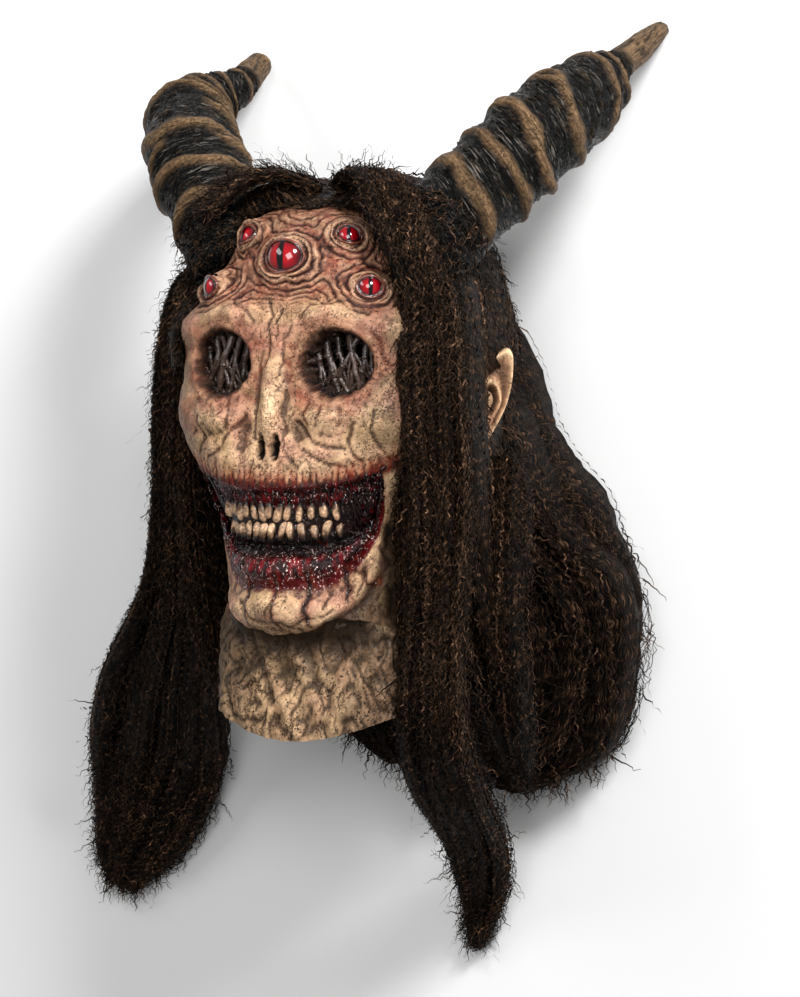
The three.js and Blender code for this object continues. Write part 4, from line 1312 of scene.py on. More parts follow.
def teeth():
    parts = []
    rng = np.random.default_rng(SEED + 2)
    rings, around = 13, 16
    s, turn = np.linspace(0, 1, rings)[:, None], turns(around)
    c, si = np.cos(turn), np.sin(turn)
    square = TEETH["squareness"]
    corner = (np.abs(c) ** square + np.abs(si) ** square) ** (-1 / square)
    quads = grid_quads(rings, around)
    for i in range(TEETH["count"]):
        x0 = (i + 0.5 - TEETH["count"] / 2) * TEETH["pitch"]
        rise = mouth_rise(x0)
        for root, tip in TOOTH_ROWS:
            lean = rng.normal(0, 0.15)
            half = (TEETH["pitch"] / 2 - TEETH["gap"]) * rng.uniform(0.74, 1.12)
            long = abs(tip - root) * rng.uniform(0.8, 1.06)
            direction = np.sign(tip - root)
            z0 = float(depth_at(x0, (root + tip) / 2 + rise)) + 0.4 + rng.normal(0, 0.35)
            width = half * (0.76 + 0.28 * smooth(0, 0.6, s)) * blunted(s, 0.72, 0.29, 2.4)
            thick = TEETH["thick"] * (1 - 0.35 * s) * blunted(s, 0.7, 0.31, 2.2)
            dx = width * c * corner + lean * (s - 0.3) * long + rng.normal(0, 0.35)
            dz = thick * si * corner + 0.9 * np.sin(math.pi * s)
            y = root + rise + direction * long * s + 0 * turn
            points = np.stack([x0 + dx, y, z0 + dz], -1)
            points += 0.32 * noise(points, 2.4, 80)[..., None] * [1, 0.5, 1]
            age = smooth(0.66, 0.14, s + 0.34 * noise(points, 2.6, 81))
            tint = mix(TOOTH * rng.uniform(0.5, 1.0), TOOTH_ROOT, (0.95 * age)[..., None])
            # Painted shade: dark down the sides of each tooth, between the teeth, and black at the root
            # where it meets the gum
            side_dark = smooth(0.62, 0.97, np.abs(c))
            tint = mix(tint, PIT, (0.85 * side_dark)[..., None])
            tint = mix(tint, PIT, (0.95 * smooth(0.26, 0.06, s))[..., None])
            parts.append((points, [quads[:, ::-1] if direction > 0 else quads], {"tint": tint}))
    add_piece("teeth", parts, tooth_material(), "latex_skin")


# Strings between gum and teeth, below and above: heights of their ends.
STRING_ENDS = [(-97.0, -104.5), (-72.5, -80.5)]
STRINGS = {"front": 80, "corners": 32, "steps": 10, "sides": 5}


def mouth_strings():
    """Dark wet strings between gum, teeth and lips."""
    rng = np.random.default_rng(SEED + 3)
    lines, radii, paints = [], [], []
    t = np.linspace(0, 1, STRINGS["steps"])
    for i in range(STRINGS["front"] + STRINGS["corners"]):
        if i < STRINGS["front"]:
            x0 = rng.uniform(-42, 44)
            x1 = x0 + rng.normal(0, 2.2)
            top, bottom = (end + rng.normal(0, 1.2) for end in STRING_ENDS[i % 2])
            thick = rng.uniform(0.3, 0.7)
        else:
            x0 = rng.uniform(40, 60) * (1 if i % 3 else -1)
            x1 = x0 + rng.normal(0, 4)
            top = rng.uniform(-82, -66)
            bottom = top - rng.uniform(10, 26)
            thick = rng.uniform(0.4, 1.1)
        x = mix(x0, x1, t) + 0.8 * np.sin(3 * t + rng.uniform(0, TURN))
        y = np.maximum(mix(top, bottom, t) + mouth_rise(x), mouth_bottom(x) + 1.5)
        z = depth_at(x, y) + 0.8 + 1.4 * np.sin(math.pi * t) * rng.uniform(0.2, 1.2)
        line = np.stack([x, y, z], -1)
        lines.append(line + 0.4 * drift(line, 3, 82))
        radii.append(thick * (0.6 + 0.5 * np.abs(2 * t - 1) ** 1.5))
        red = BLOOD if rng.random() < 0.16 else BLOOD_DARK
        paints.append(np.broadcast_to(red * rng.uniform(0.4, 1.1), line.shape))
    part = tubes(np.array(lines), np.array(radii), STRINGS["sides"], np.array(paints))
    add_piece("mouth_strings", [part], wet_material("wet string", 0.2), "latex_skin")


# Ears: the outline of the leaf, closed with a smooth line.
EAR_OUTLINE = [
    (-6, -20),
    (-3, -27),
    (2, -29.5),
    (7, -25),
    (12, -16),
    (17, -5),
    (20.2, 8),
    (21.0, 19),
    (20.4, 27.5),
    (17.4, 30.8),
    (12.5, 28.5),
    (6, 24),
    (-1, 20),
    (-6, 15),
    (-7, 0),
]
EAR_BOWL = (10.5, 19.0)  # half sizes of the round bowl
EAR = {"foot": (83, -16, 2), "turn": 41, "lean": -2, "thick": 4, "middle": (7.0, -2.0), "columns": 88}


def ears():
    """Pointed ears: a rolled rim, a groove inside it, a fold and a deep bowl."""
    material = skin_material()
    outline = np.array(EAR_OUTLINE, float)
    count = EAR["columns"]
    ring = rows_at(np.concatenate([outline, outline[:3]]), 1 + np.arange(count) / count * len(outline))
    ring -= EAR["middle"]
    shares = np.concatenate([np.linspace(1, 0.5, 18), np.linspace(0.46, 0.04, 6)])
    lean = Matrix.Rotation(math.radians(EAR["lean"]), 3, "Z")
    turn = np.array(lean @ Matrix.Rotation(math.radians(EAR["turn"]), 3, "Y"))
    bearing = np.arctan2(ring[:, 1], ring[:, 0])[None]
    outer = smooth(-0.75, -0.1, np.cos(bearing - 0.5))
    s = shares[:, None]
    # The outline's corner dies away inwards, so the bowl is round
    rounder = 1 / np.hypot(np.cos(bearing) / EAR_BOWL[0], np.sin(bearing) / EAR_BOWL[1]) / length(ring)
    inwards = s * mix(1.0, np.minimum(rounder, 1), smooth(0.92, 0.66, s))
    xy = EAR["middle"] + ring * inwards[..., None]
    roll = 3.6 * valley(s - 0.93, 0.062) * (0.25 + 0.75 * outer)
    groove = -2.2 * valley(s - 0.79, 0.055) * outer
    fold = 1.8 * valley(s - 0.62, 0.085) * smooth(-1.3, 0.2, bearing) * smooth(2.6, 1.6, bearing)
    bowl = -4.5 * smooth(0.56, 0.3, s)
    rounded = -2.2 * smooth(0.97, 1.0, s)
    front = EAR["thick"] - 0.4 + roll + groove + fold + bowl + rounded
    back = 0.8 + 2.2 * smooth(0.72, 1.0, s) ** 2 - 1.6 * smooth(1.0, 0.4, s) + 0 * bearing
    heights = np.concatenate([back[::-1], front])
    points = np.concatenate([np.concatenate([xy[::-1], xy]), heights[..., None]], -1)
    points[..., 2] += 0.3 * noise(points, 5, 90) + 0.15 * noise(points, 2, 91)
    height = np.concatenate([np.full(back.shape, 4.5), front])
    # Painted highlight on the raised rim and painted shade deep in the bowl, with some random darkening
    shade = smooth(4.4, 0.6, height) + 0.4 * smooth(0.2, 0.9, noise(points, 6, 93))
    tint = mix(BONE_WARM, BONE * 1.3, smooth(3.2, 5.4, height)[..., None])
    tint = mix(tint, WASH_AND_SHADE * 0.6, (0.92 * np.clip(shade, 0, 1))[..., None])
    attributes = {"tint": tint, "wet": np.zeros(height.shape), "veined": np.full(height.shape, 0.5)}
    faces = grid_quads(len(points), count)
    posed = points @ turn.T + EAR["foot"]
    for name, side in (("ear_left", 1), ("ear_right", -1)):
        part = posed * [side, 1, 1], [faces[:, ::-side]], attributes
        add_piece(name, [part], material, "latex_skin")


# Horns: x, y, z, radius.
HORNS = {
    "horn_left": [
        [60, 66, 46, 28],
        [89, 101, 29, 30],
        [106, 124, 12, 30],
        [118, 143, -8, 30],
        [130, 162, -35, 27],
        [137, 178, -61, 20],
        [141, 188, -77, 10.5],
        [145, 202, -106, 8.6],
        [148, 215, -132, 5.0],
    ],
    "horn_right": [
        [-58, 62, 46, 28],
        [-80, 92, 29, 30],
        [-102, 116, 12, 30],
        [-125, 142, -10, 29],
        [-140, 160, -38, 26],
        [-142, 171, -64, 20],
        [-136, 180, -84, 13],
        [-135, 188, -100, 10.5],
        [-137, 200, -124, 8],
    ],
}
HORN_STATIONS, HORN_SIDES = 205, 80
RINGS, FORKS = 9, 5
RING_HALF, FORK_HALF = 0.0195, 0.014  # half widths, as shares of the horn
PLAIN_TIP = {"horn_left": 0.76, "horn_right": 0.86}


def sweep_frames(rows, share):
    """Where a sweep is at each share of its rows, and its along, aside and out directions."""
    last = len(rows) - 1
    path = np.array(rows, float)
    at = rows_at(path, share * last)
    ahead = rows_at(path, np.minimum(1, share + 0.01) * last)[..., :3]
    behind = rows_at(path, np.maximum(0, share - 0.01) * last)[..., :3]
    along = unit(ahead - behind)
    bearing = at[..., 5] if at.shape[-1] > 5 else np.zeros(share.shape)
    level = np.stack([np.cos(bearing), np.zeros(share.shape), -np.sin(bearing)], -1)
    out = unit(np.cross(along, level))
    return at, along, np.cross(out, along), out


def horn_ridges(rng, round_horn, s, angle):
    """Rings, each with its own slant, width and gaps, and a few short forks between them."""
    ridge = np.zeros(s.shape)
    for k in range(RINGS + FORKS):
        fork = k >= RINGS
        centre = (rng.integers(2, RINGS - 1) + 0.5 if fork else k) / RINGS
        slant = 0.3 / RINGS + rng.normal(0, 0.014)
        phase = 0.6 + rng.normal(0, 0.5)
        middle = centre - slant * np.sin(angle + phase)
        middle += 0.018 * noise(round_horn + [0, 0, k * 5.0], 1.6, 101)
        uneven = 1 + 0.4 * noise(round_horn + [0, 0, k * 7.0], 1.2, 102)
        half = (FORK_HALF if fork else RING_HALF) * uneven
        rounded = np.exp(-(np.abs((s - middle) / half) ** 2.1))
        if fork:
            rounded *= smooth(0.2, 0.8, np.cos(angle - rng.uniform(0, TURN)))
        ridge = np.maximum(ridge, rounded * rng.uniform(0.8, 1.1))
    return ridge


def horns():
    material = horn_material()
    share = np.linspace(0, 1, HORN_STATIONS)
    s, angle = np.meshgrid(share, turns(HORN_SIDES), indexing="ij")
    cos, sin = np.cos(angle), np.sin(angle)
    for index, (name, rows) in enumerate(HORNS.items()):
        rng = np.random.default_rng(SEED + 10 + index)
        at, _, aside, out = sweep_frames(rows, share)
        run = run_of(length(np.diff(at[:, :3], axis=0)))
        spine, far = at[:, None, :3], np.broadcast_to(run[:, None], s.shape)
        round_horn = np.stack([cos * 2, sin * 2, s * 0], -1)
        wobble = noise(round_horn + [0, 0, index * 9], 1.3, 100)
        plain_from = PLAIN_TIP[name]
        ridged = smooth(0.07, 0.12, s) * (1 - smooth(plain_from - 0.04, plain_from, s))
        tip = smooth(plain_from - 0.03, plain_from + 0.01, s)
        ridge = horn_ridges(rng, round_horn, s, angle) * ridged
        blunt = np.sqrt(np.clip((1.0 - s) / 0.02, 0.03, 1))
        radius = at[:, 3][:, None] * (1 + ridged * (-0.06 + 0.16 * ridge)) * blunt
        surface = offset(spine, aside[:, None], out[:, None], cos * radius, sin * radius)
        # Fibres run round the grooves, a little aslant
        aslant = far + 5 * np.sin(angle + 1) + 2 * wobble
        fibre_at = np.stack([cos * 16, sin * 16, aslant * 4.2], -1)
        fibres = np.abs(noise(fibre_at, 9, 103)) + 0.5 * np.abs(noise(fibre_at, 4.5, 104))
        groove = (1 - smooth(0.15, 0.6, ridge)) * (1 - tip)
        h = groove * (2.8 * fibres - 1.1)
        h += (ridge * 0.9 + tip * 0.5) * (0.7 * noise(surface, 6, 105) + 0.35 * noise(surface, 2.6, 106))
        h -= ridge * 0.8 * valley(noise(surface, 8, 107), 0.06)
        lengthwise = np.stack([cos * 22, sin * 22, far * 0.35], -1)
        h += tip * 0.55 * noise(lengthwise, 5, 108)
        points = lie_above_floor(surface + unit(surface - spine) * h[..., None], 0.4)
        hollow = hollowness(points, surface_normals(points), 2)
        ragged = ridge + 0.14 * noise(fibre_at, 11, 111) * ridged
        brown = np.clip(smooth(0.3, 0.62, ragged) + tip, 0, 1)
        fibre_paint = groove * smooth(0.55, 0.95, fibres) * smooth(0.06, 0.16, s)
        tint = HORN_BLACK
        for paint, cover in (
            (HORN_BROWN, np.clip(brown * (0.85 + 0.3 * noise(surface, 9, 109)), 0, 1)),
            (HORN_PALE, brown * smooth(0.6, 1.0, ridge + tip) * 0.55),
            (HORN_BROWN * 0.6, 0.6 * fibre_paint),
            # Painted shade in the hollows
            (HORN_BLACK, smooth(0.04, 0.4, hollow) * 0.9),
            (HORN_BLACK, 0.75 * tip * smooth(0.12, 0.4, noise(lengthwise, 4, 112))),
            (HORN_BLACK, 0.7 * (valley(ragged - 0.42, 0.12) * ridged)),
        ):
            tint = mix(tint, paint, cover[..., None])
        slanted = far + 6 * np.sin(angle + 1)
        grain = np.stack([slanted * 0.8, angle * 1.5, 0 * s], -1)
        grain = mix(grain, np.stack([far * 0.04, angle * 9, 0 * s], -1), tip[..., None])
        faces = [grid_quads(HORN_STATIONS, HORN_SIDES), *end_caps(HORN_STATIONS, HORN_SIDES)]
        part = points, faces, {"tint": tint, "wet": 1 - brown, "grain": grain}
        add_piece(name + "_cast", [part], material, "horn", name)


# Hair: the cap on the crown, and what is combed over the horns' feet.
CAP = {"thick": 8, "top": 3, "from_row": 19, "rows": 64, "columns": 150, "sunk": 1.0}
SWELL = {"high": 13, "x": 40, "width": 26, "from": 70, "to": 100}
HAIRLINE = [(0, 99), (14, 101), (32, 98), (47, 90), (59, 72), (66, 52), (73, 28), (78, 0), (79, -60)]
BARE_FROM = 22  # the depth in front of which the hairline counts
CRIMP = 7.4  # the length of one zigzag
# Locks: x, y, z, half width, half thickness, bearing.
FALL_ROWS = [
    [0, 30, -66, 58, 50, 0],
    [0, -13, -79, 80, 60, 0],
    [0, -50, -84, 97, 58, 0],
    [2, -88, -92, 111, 51, 0],
    [8, -127, -99, 121, 44, 0],
    [16, -168, -104, 140, 38, 0],
    [18, -205, -110, 128, 32, 0],
    [12, -240, -116, 92, 26, 0],
    [8, -262, -122, 56, 18, 0],
]
LOCKS = {
    "hair_lock_right_front": [
        [-86, 66, 44, 9, 10, 0],
        [-98, 34, 40, 14, 14, 0],
        [-108, -20, 30, 18, 16, 0],
        [-113, -80, 18, 22, 17, 0],
        [-124, -142, 0, 29, 18, 0],
        [-168, -204, -50, 40, 18, 0],
        [-207, -262, -104, 47, 17, 0],
        [-226, -302, -121, 42, 14, 0],
        [-244, -335, -128, 28, 9, 0],
        [-250, -358, -132, 11, 5, 0],
    ],
    "hair_lock_left_front": [
        [78, 66, 62, 14, 12, 0.5],
        [84, 30, 70, 19, 13, 0.5],
        [88, -20, 74, 21, 14, 0.5],
        [87, -83, 66, 22, 14, 0.5],
        [81, -147, 57, 20, 13, 0.4],
        [78, -206, 53, 20, 12, 0.3],
        [64, -252, 4, 24, 12, 0.1],
        [46, -296, -70, 23, 12, 0],
        [28, -340, -118, 16, 10, 0],
        [18, -378, -132, 5, 5, 0],
    ],
    "hair_lock_left_side": [
        [92, -52, -26, 10, 10, 0],
        [99, -85, -6, 15, 13, 0],
        [101, -118, 6, 18, 13, 0],
        [99, -160, 8, 19, 13, 0],
        [96, -206, -14, 17, 12, 0],
        [84, -240, -54, 11, 9, 0],
        [76, -264, -84, 4, 4, 0],
    ],
}
# Hair that hangs from the cap beside the face, in front of each ear; the right one is mirrored.
CURTAIN = [
    [88, 62, 40, 26, 5, -1.5],
    [93, 24, 38, 25, 6, -1.5],
    [95, -20, 38, 23, 6, -1.5],
    [96, -60, 34, 24, 7, -1.45],
    [97, -100, 26, 22, 8, -1.4],
    [98, -140, 16, 20, 8, -1.3],
    [99, -178, 2, 15, 8, -1.2],
    [97, -214, -18, 9, 7, -1.0],
]
# Hair that sweeps from the parting over the foot of each horn.
OVER_HORN = [
    [8, 110, 34, 10, 5, 1.4],
    [28, 117, 50, 15, 7, 1.1],
    [48, 112, 64, 19, 8, 0.8],
    [64, 96, 74, 20, 8, 0.6],
    [76, 72, 78, 18, 8, 0.5],
    [84, 40, 76, 15, 8, 0.5],
]
# Ropes, strands, loose strands, tufts of frizz and half the width of a strand.
LOCK_STRANDS = {
    "hair_lock_right_front": (9, 153, 380, 2300, 0.6),
    "hair_lock_left_front": (7, 126, 260, 2000, 0.58),
    "hair_lock_left_side": (5, 50, 90, 600, 0.58),
}
FALL_STRANDS = (18, 144, 760, 4300, 0.7)
CURTAIN_STRANDS = (5, 50, 30, 400, 0.6)
OVER_HORN_STRANDS = (3, 48, 20, 450, 0.6)
ROPE = {"wide": 1.3, "widest": 0.85, "thick": 0.6, "sides": 9, "front": 0.32, "back": -0.36}
FRIZZ_STEPS = 7
CROWN_HAIR = {"strands": 260, "clumps": 34, "steps": 60, "frizz": 3200}
CROWN_HEART = np.array([0, 40.0, 0])  # the crown's strands lie on rays from here
SCALP_TRIES = 6800
COLLAR = {"share": 0.13, "strands": 950}
STRAND_STEP = 2.2


def hair_paint(rng, lines, brightest=1.0):
    """Each strand has its own brown, and painted glints here and there along it."""
    own = rng.uniform(0.0, brightest, (len(lines), 1)) ** 1.4
    glint = rng.random(lines.shape[:2]) ** 2.8
    return mix(HAIR_DARK, HAIR_BROWN, (own * (0.14 + 0.86 * glint))[..., None])


def crimped(lines, along, outward, rng, size, phase, period=CRIMP):
    """Lines with the zigzag of crimped hair, sideways and a little outward."""
    each = (len(lines), 1)
    run = np.concatenate([np.zeros(each), np.cumsum(length(np.diff(lines, axis=1)), 1)], 1)
    wave = TURN * run / (period * rng.uniform(0.93, 1.08, each))
    wave += phase + rng.normal(0, 0.4, each) + 1.2 * noise(lines, 24, 113)
    swing = size * rng.uniform(0.55, 1.3, each) * rng.uniform(0.6, 1.3, wave.shape)
    sideways = unit(np.cross(along, outward))
    return offset(lines, sideways, outward, np.sin(wave) * swing, np.cos(wave) * swing * 0.6)


def ribbons(lines, half_widths, facing, tint):
    """Flat strands along lines, each facing outward."""
    count, steps = lines.shape[:2]
    along = unit(np.gradient(lines, axis=1))
    side = unit(np.cross(along, facing)) * half_widths[..., None]
    points = np.stack([lines - side, lines + side], 2)
    quads = grid_quads(steps, 2, closed=False)
    offsets = (np.arange(count) * steps * 2)[:, None, None]
    faces = (quads[None] + offsets).reshape(-1, 4)
    spread = np.broadcast_to(tint[..., None, :], points.shape)
    return points, [faces], {"tint": spread, "mass": spread[..., 0] * 0, "grain": spread * 0}


def strands(rng, lines, facing, half_width, unevenness, thinning, twist):
    """Ribbons of uneven width along crimped lines, each turned a little its own way."""
    widths = half_width * rng.uniform(*unevenness, (len(lines), 1)) * thinning
    facing = unit(facing + twist * rng.normal(size=(len(lines), 1, 3)))
    return ribbons(lines, widths, facing, hair_paint(rng, lines))


def frizz(roots, outward, flow, rng, long, size, half_width):
    """Short crimped strands that grow from places along a flow."""
    each = (len(roots), 1)
    t = np.linspace(0, 1, FRIZZ_STEPS)
    way, outward = unit(flow + 0.4 * rng.normal(size=roots.shape))[:, None], outward[:, None]
    reach = long * rng.uniform(0.6, 1.3, each) * t
    lift = -0.6 + rng.uniform(0.5, 2.8, each) * np.sin(math.pi * (t * 0.8))
    lines = offset(roots[:, None], way, outward, reach, lift)
    lines = crimped(lines, way, outward, rng, size, rng.uniform(0, TURN, each))
    return strands(rng, lines, outward, half_width, (0.6, 1.2), 1 - 0.78 * t, 0.4)


def at_share(share, number, seed):
    """Slow noise along a lock, with a number for each of its parts."""
    spot = np.stack([share * 3.6, share * 0 + number * 3.17, share * 0], -1)
    return noise(spot, 1.0, seed)


def rope_core(rope, share, reach, k):
    """The dark core of rope number k, on which strands are painted."""
    wide, thick, _, aside, out, centre = rope(share)
    turn = turns(ROPE["sides"])
    x, z = np.cos(turn) * wide[:, None], np.sin(turn) * thick[:, None]
    ring = offset(0, aside[:, None], out[:, None], x, z)
    core = centre[:, None] + 0.82 * ring
    core += 1.8 * noise(core, 6, 122)[..., None] * unit(ring)
    core = lie_above_floor(core, 0.4)
    grain = np.zeros(core.shape)
    grain[..., 0] = share[:, None] * reach
    grain[..., 1] = turn * 0.5 * (wide + thick).mean() + 31.0 * k
    tint = np.broadcast_to(HAIR_DARK * 0.5, core.shape)
    faces = [grid_quads(len(core), ROPE["sides"]), *end_caps(len(core), ROPE["sides"])]
    return core, faces, {"tint": tint, "mass": np.ones(core.shape[:2]), "grain": grain}


def rope_strands(rope, share, rng, count, half_width, k):
    """Crimped strands over a rope, most of them where they show."""
    each = (count, 1)
    even = (np.arange(count) + rng.uniform(0, 1, count)) / count
    bearing = math.pi / 2 + TURN * (even - 0.5) * mix(0.62, 1.0, np.abs(2 * even - 1) ** 2)
    local = share * (1 - 0.09 * rng.random(each) ** 2.5)
    wide, thick, along, aside, out, centre = rope(local)
    far_out = rng.uniform(0.8, 1.0, each)
    bend = bearing[:, None] + rng.normal(0.0, 0.45, each) * local
    bend = bend + 0.3 * at_share(local, rng.uniform(0, 40, each), 124)
    side, lift = np.cos(bend) * far_out, np.sin(bend) * far_out
    lines = offset(centre, aside, out, side * wide, lift * thick)
    facing = unit(offset(0, aside, out, side / wide, lift / thick))
    lines = crimped(lines, along, facing, rng, 1.35, k * 1.3, CRIMP * (0.86 + 0.05 * (k % 5)))
    thinning = 1 - 0.8 * smooth(0.95, 1.0, share)
    return strands(rng, lie_above_floor(lines), facing, half_width, (0.6, 1.25), thinning, 0.5)


def rope_frizz(rope, rng, count, half_width):
    """Short frizz on the front of a rope."""
    local = rng.uniform(0, 0.97, count)
    wide, thick, along, aside, out, centre = rope(local)
    bearing = math.pi / 2 + rng.uniform(-1.75, 1.75, count)
    side, lift = np.cos(bearing), np.sin(bearing)
    roots = offset(centre, aside, out, side * wide, lift * thick)
    outward = unit(offset(0, aside, out, side / wide, lift / thick))
    points, faces, attributes = frizz(roots, outward, along, rng, 16, size=1.5, half_width=half_width * 0.9)
    return lie_above_floor(points), faces, attributes


def loose_strands(rows, reach, rng, count):
    """Short strands that stand off a lock."""
    each = (count, 1)
    t = np.linspace(0, 1, int(reach * 0.1 / STRAND_STEP))
    begin = rng.uniform(-0.03, 0.95, each)
    local = np.clip(begin + rng.uniform(0.05, 0.13, each) * t, 0, 1)
    at, along, aside, out = sweep_frames(rows, local)
    bearing = rng.uniform(-0.4, math.pi + 0.4, each) + 0.7 * rng.normal(size=each) * t
    far_out = 0.95 + rng.uniform(0.0, 5.0, each) * np.sin(math.pi * t) / at[..., 3]
    side, lift = np.cos(bearing) * far_out, np.sin(bearing) * far_out
    facing = unit(offset(0, aside, out, side, lift))
    lines = offset(at[..., :3], aside, out, side * at[..., 3], lift * at[..., 4]) + facing * 1.5
    lines = lie_above_floor(crimped(lines, along, facing, rng, 2.4, 0.0))
    widths = np.full(lines.shape[:2], 0.26)
    return ribbons(lines, widths, unit(facing + [0, 0, 0.8]), hair_paint(rng, lines, 0.6))


def lock_parts(rows, ropes, strand_count, loose, tufts, half_width, seed, in_front=0.6):
    """A lock: ropes of crimped strands side by side in two layers, with frizz and loose strands."""
    rng = np.random.default_rng(seed)
    reach = length(np.diff(np.array(rows, float)[:, :3], axis=0)).sum()
    share = np.linspace(0, 1, int(reach / STRAND_STEP))
    front_count = math.ceil(ropes * in_front)
    parts = []
    for k in range(ropes):
        front = k < front_count
        row = front_count if front else ropes - front_count
        place_in_row = k if front else k - front_count
        half_rope = min(ROPE["widest"], ROPE["wide"] / row)
        across = (0.94 - 0.8 * half_rope) * (2 * place_in_row / max(1, row - 1) - 1)
        depth = ROPE["front" if front else "back"]

        def rope(share):
            """The rope's half width and thickness, its directions and its middle."""
            at, along, aside, out = sweep_frames(rows, share)
            root = np.sqrt(np.clip(share / 0.06, 0.12, 1))
            wide, thick = at[..., 3] * root, at[..., 4] * root
            x = (across + min(0.2, 1.0 / row) * at_share(share, k, 120)) * wide
            z = (depth + 0.22 * at_share(share, k, 121)) * thick
            middle = offset(at[..., :3], aside, out, x, z)
            return half_rope * wide, ROPE["thick"] * thick, along, aside, out, middle

        parts.append(rope_core(rope, share[::2], reach, k))
        parts.append(rope_strands(rope, share, rng, strand_count // ropes, half_width, k))
        parts.append(rope_frizz(rope, rng, tufts // ropes, half_width))
    parts.append(loose_strands(rows, reach, rng, loose))
    return parts


def out_of_bare_face(points):
    """How far a point lies outside the hairline: below 0 over the bare face."""
    x, y, z = np.abs(points[..., 0]), points[..., 1], points[..., 2]
    line = np.array(HAIRLINE, float)
    beside = x - np.interp(-y, -line[1:, 1], line[1:, 0])
    above = y - np.interp(x, line[:3, 0], line[:3, 1])
    return np.where(z > BARE_FROM, np.maximum(beside, above), np.maximum(beside, 30))


def cap_point(where, angle):
    points = plain_head(where, angle)
    x, y, z = np.moveaxis(points, -1, 0)
    radius = np.maximum(np.hypot(x, z), 1e-6)
    swell = SWELL["high"] * valley(np.abs(x) - SWELL["x"], SWELL["width"])
    swell = swell * smooth(SWELL["from"], SWELL["to"], y)
    rounded = 0.25 + 0.75 * np.sqrt(np.clip(out_of_bare_face(points) / 9, 0, 1))
    out = ((CAP["thick"] + 6 * smooth(0, 60, z)) * rounded - CAP["sunk"]) * smooth(109, 90, y)
    up = ((CAP["top"] + swell) * rounded - CAP["sunk"]) * smooth(40, 105, y)
    return points + np.stack([x / radius * out, up, z / radius * out], -1)


def cap_mass(flat, quads):
    """The dark mass of the cap; its painted strands run from the parting out and down."""
    bumps = (1.2 * noise(flat, 4.5, 130) + 0.8 * noise(flat, 10, 132))[:, None]
    behind = smooth(-55, -95, flat[:, 2])
    run = 1.2 * np.abs(flat[:, 0]) * (1 - behind) + 0.9 * (109 - flat[:, 1])
    beside = mix(flat[:, 2], flat[:, 0], behind)
    attributes = {
        "tint": np.broadcast_to(HAIR_DARK * 0.5, flat.shape),
        "mass": np.ones(len(flat)),
        "grain": np.stack([run, beside, 0 * run], -1),
    }
    return flat + bumps * unit(flat - CROWN_HEART), [quads], attributes


def crown_strands(rng, tree):
    """Strands that part in the middle, run level over the brow and drop down the sides."""
    t = np.linspace(0, 1, CROWN_HAIR["steps"])
    lines, clumps = [], []
    for i in range(CROWN_HAIR["strands"]):
        side = 1 if i % 2 else -1
        clump = rng.integers(0, CROWN_HAIR["clumps"])
        back = np.clip((clump + rng.normal(0, 0.35)) / CROWN_HAIR["clumps"], 0, 1) ** 1.25
        over = math.radians(mix(40, 178, back))
        start_way = unit(np.array([0.03 * side, math.sin(over), math.cos(over)]))
        end_turn = math.radians(mix(27, 152, back) + rng.normal(0, 2.5))
        end_drop = mix(0.22, -0.42, smooth(0, 0.3, back)) + rng.normal(0, 0.05)
        end_way = unit(np.array([side * math.sin(end_turn), end_drop, math.cos(end_turn)]))
        between = math.acos(np.clip(start_way @ end_way, -1, 1))
        ways = np.sin((1 - t) * between)[:, None] * start_way + np.sin(t * between)[:, None] * end_way
        level = np.outer(np.sin(math.pi * t) * 0.16 * (1 - back), [0, 1.0, 0])
        ways = unit(ways / math.sin(between) + level)
        spots = [tree.ray_cast(Vector(CROWN_HEART), Vector(way))[0] for way in ways]
        if all(spot is not None for spot in spots):
            lines.append(np.array(spots) + ways * rng.uniform(0.0, 2.6))
            clumps.append(clump)
    lines, clumps = np.array(lines), np.array(clumps)
    facing = unit(lines - CROWN_HEART)
    lines = crimped(lines, unit(np.gradient(lines, axis=1)), facing, rng, 1.3, clumps[:, None] * 1.7)
    kept = (out_of_bare_face(lines) > -3.5).all(1)
    thinning = 1 - 0.7 * smooth(0.94, 1, t)
    return strands(rng, lines[kept], facing[kept], 0.6, (0.6, 1.25), thinning, 0.5)


def crown_frizz(rng, corners):
    """Short frizz all over the cap, which hides the mass below and softens the hairline."""
    area = length(np.cross(corners[:, 2] - corners[:, 0], corners[:, 3] - corners[:, 1]))
    middle = corners.mean(1)
    chance = area * (1 + 3 * smooth(12, 0, out_of_bare_face(middle)) * smooth(-20, 0, middle[:, 2]))
    chance = chance * (1 + 1.5 * smooth(45, 70, np.abs(middle[:, 0])) * smooth(0, 25, middle[:, 1]))
    picked = rng.choice(len(corners), CROWN_HAIR["frizz"], p=chance / chance.sum())
    share = rng.dirichlet(np.ones(4), CROWN_HAIR["frizz"])
    roots = (corners[picked] * share[..., None]).sum(1)
    outward = unit(roots - CROWN_HEART)
    across = np.abs(roots[:, 0])
    down = smooth(18, 75, across)
    flow = np.stack([np.sign(roots[:, 0]) * (1.1 - down), -down, 0.25 * smooth(40, 0, across)], -1)
    flow = unit(flow - outward * (flow * outward).sum(-1, keepdims=True))
    return frizz(roots, outward, flow, rng, 10.5, size=1.3, half_width=0.55)


def crown():
    rng = np.random.default_rng(SEED + 30)
    rows, columns = CAP["rows"], CAP["columns"]
    places = np.linspace(CAP["from_row"] - 0.8, LAST_ROW - 0.04, rows)
    where, angle = np.meshgrid(places, turns(columns) - math.pi, indexing="ij")
    flat = cap_point(where, angle).reshape(-1, 3)
    quads = grid_quads(rows, columns)
    tree = BVHTree.FromPolygons([Vector(p) for p in flat], [tuple(q) for q in quads])
    hairy = quads[out_of_bare_face(flat[quads].mean(1)) >= -1.0]
    return [cap_mass(flat, hairy), crown_strands(rng, tree), crown_frizz(rng, flat[hairy])]


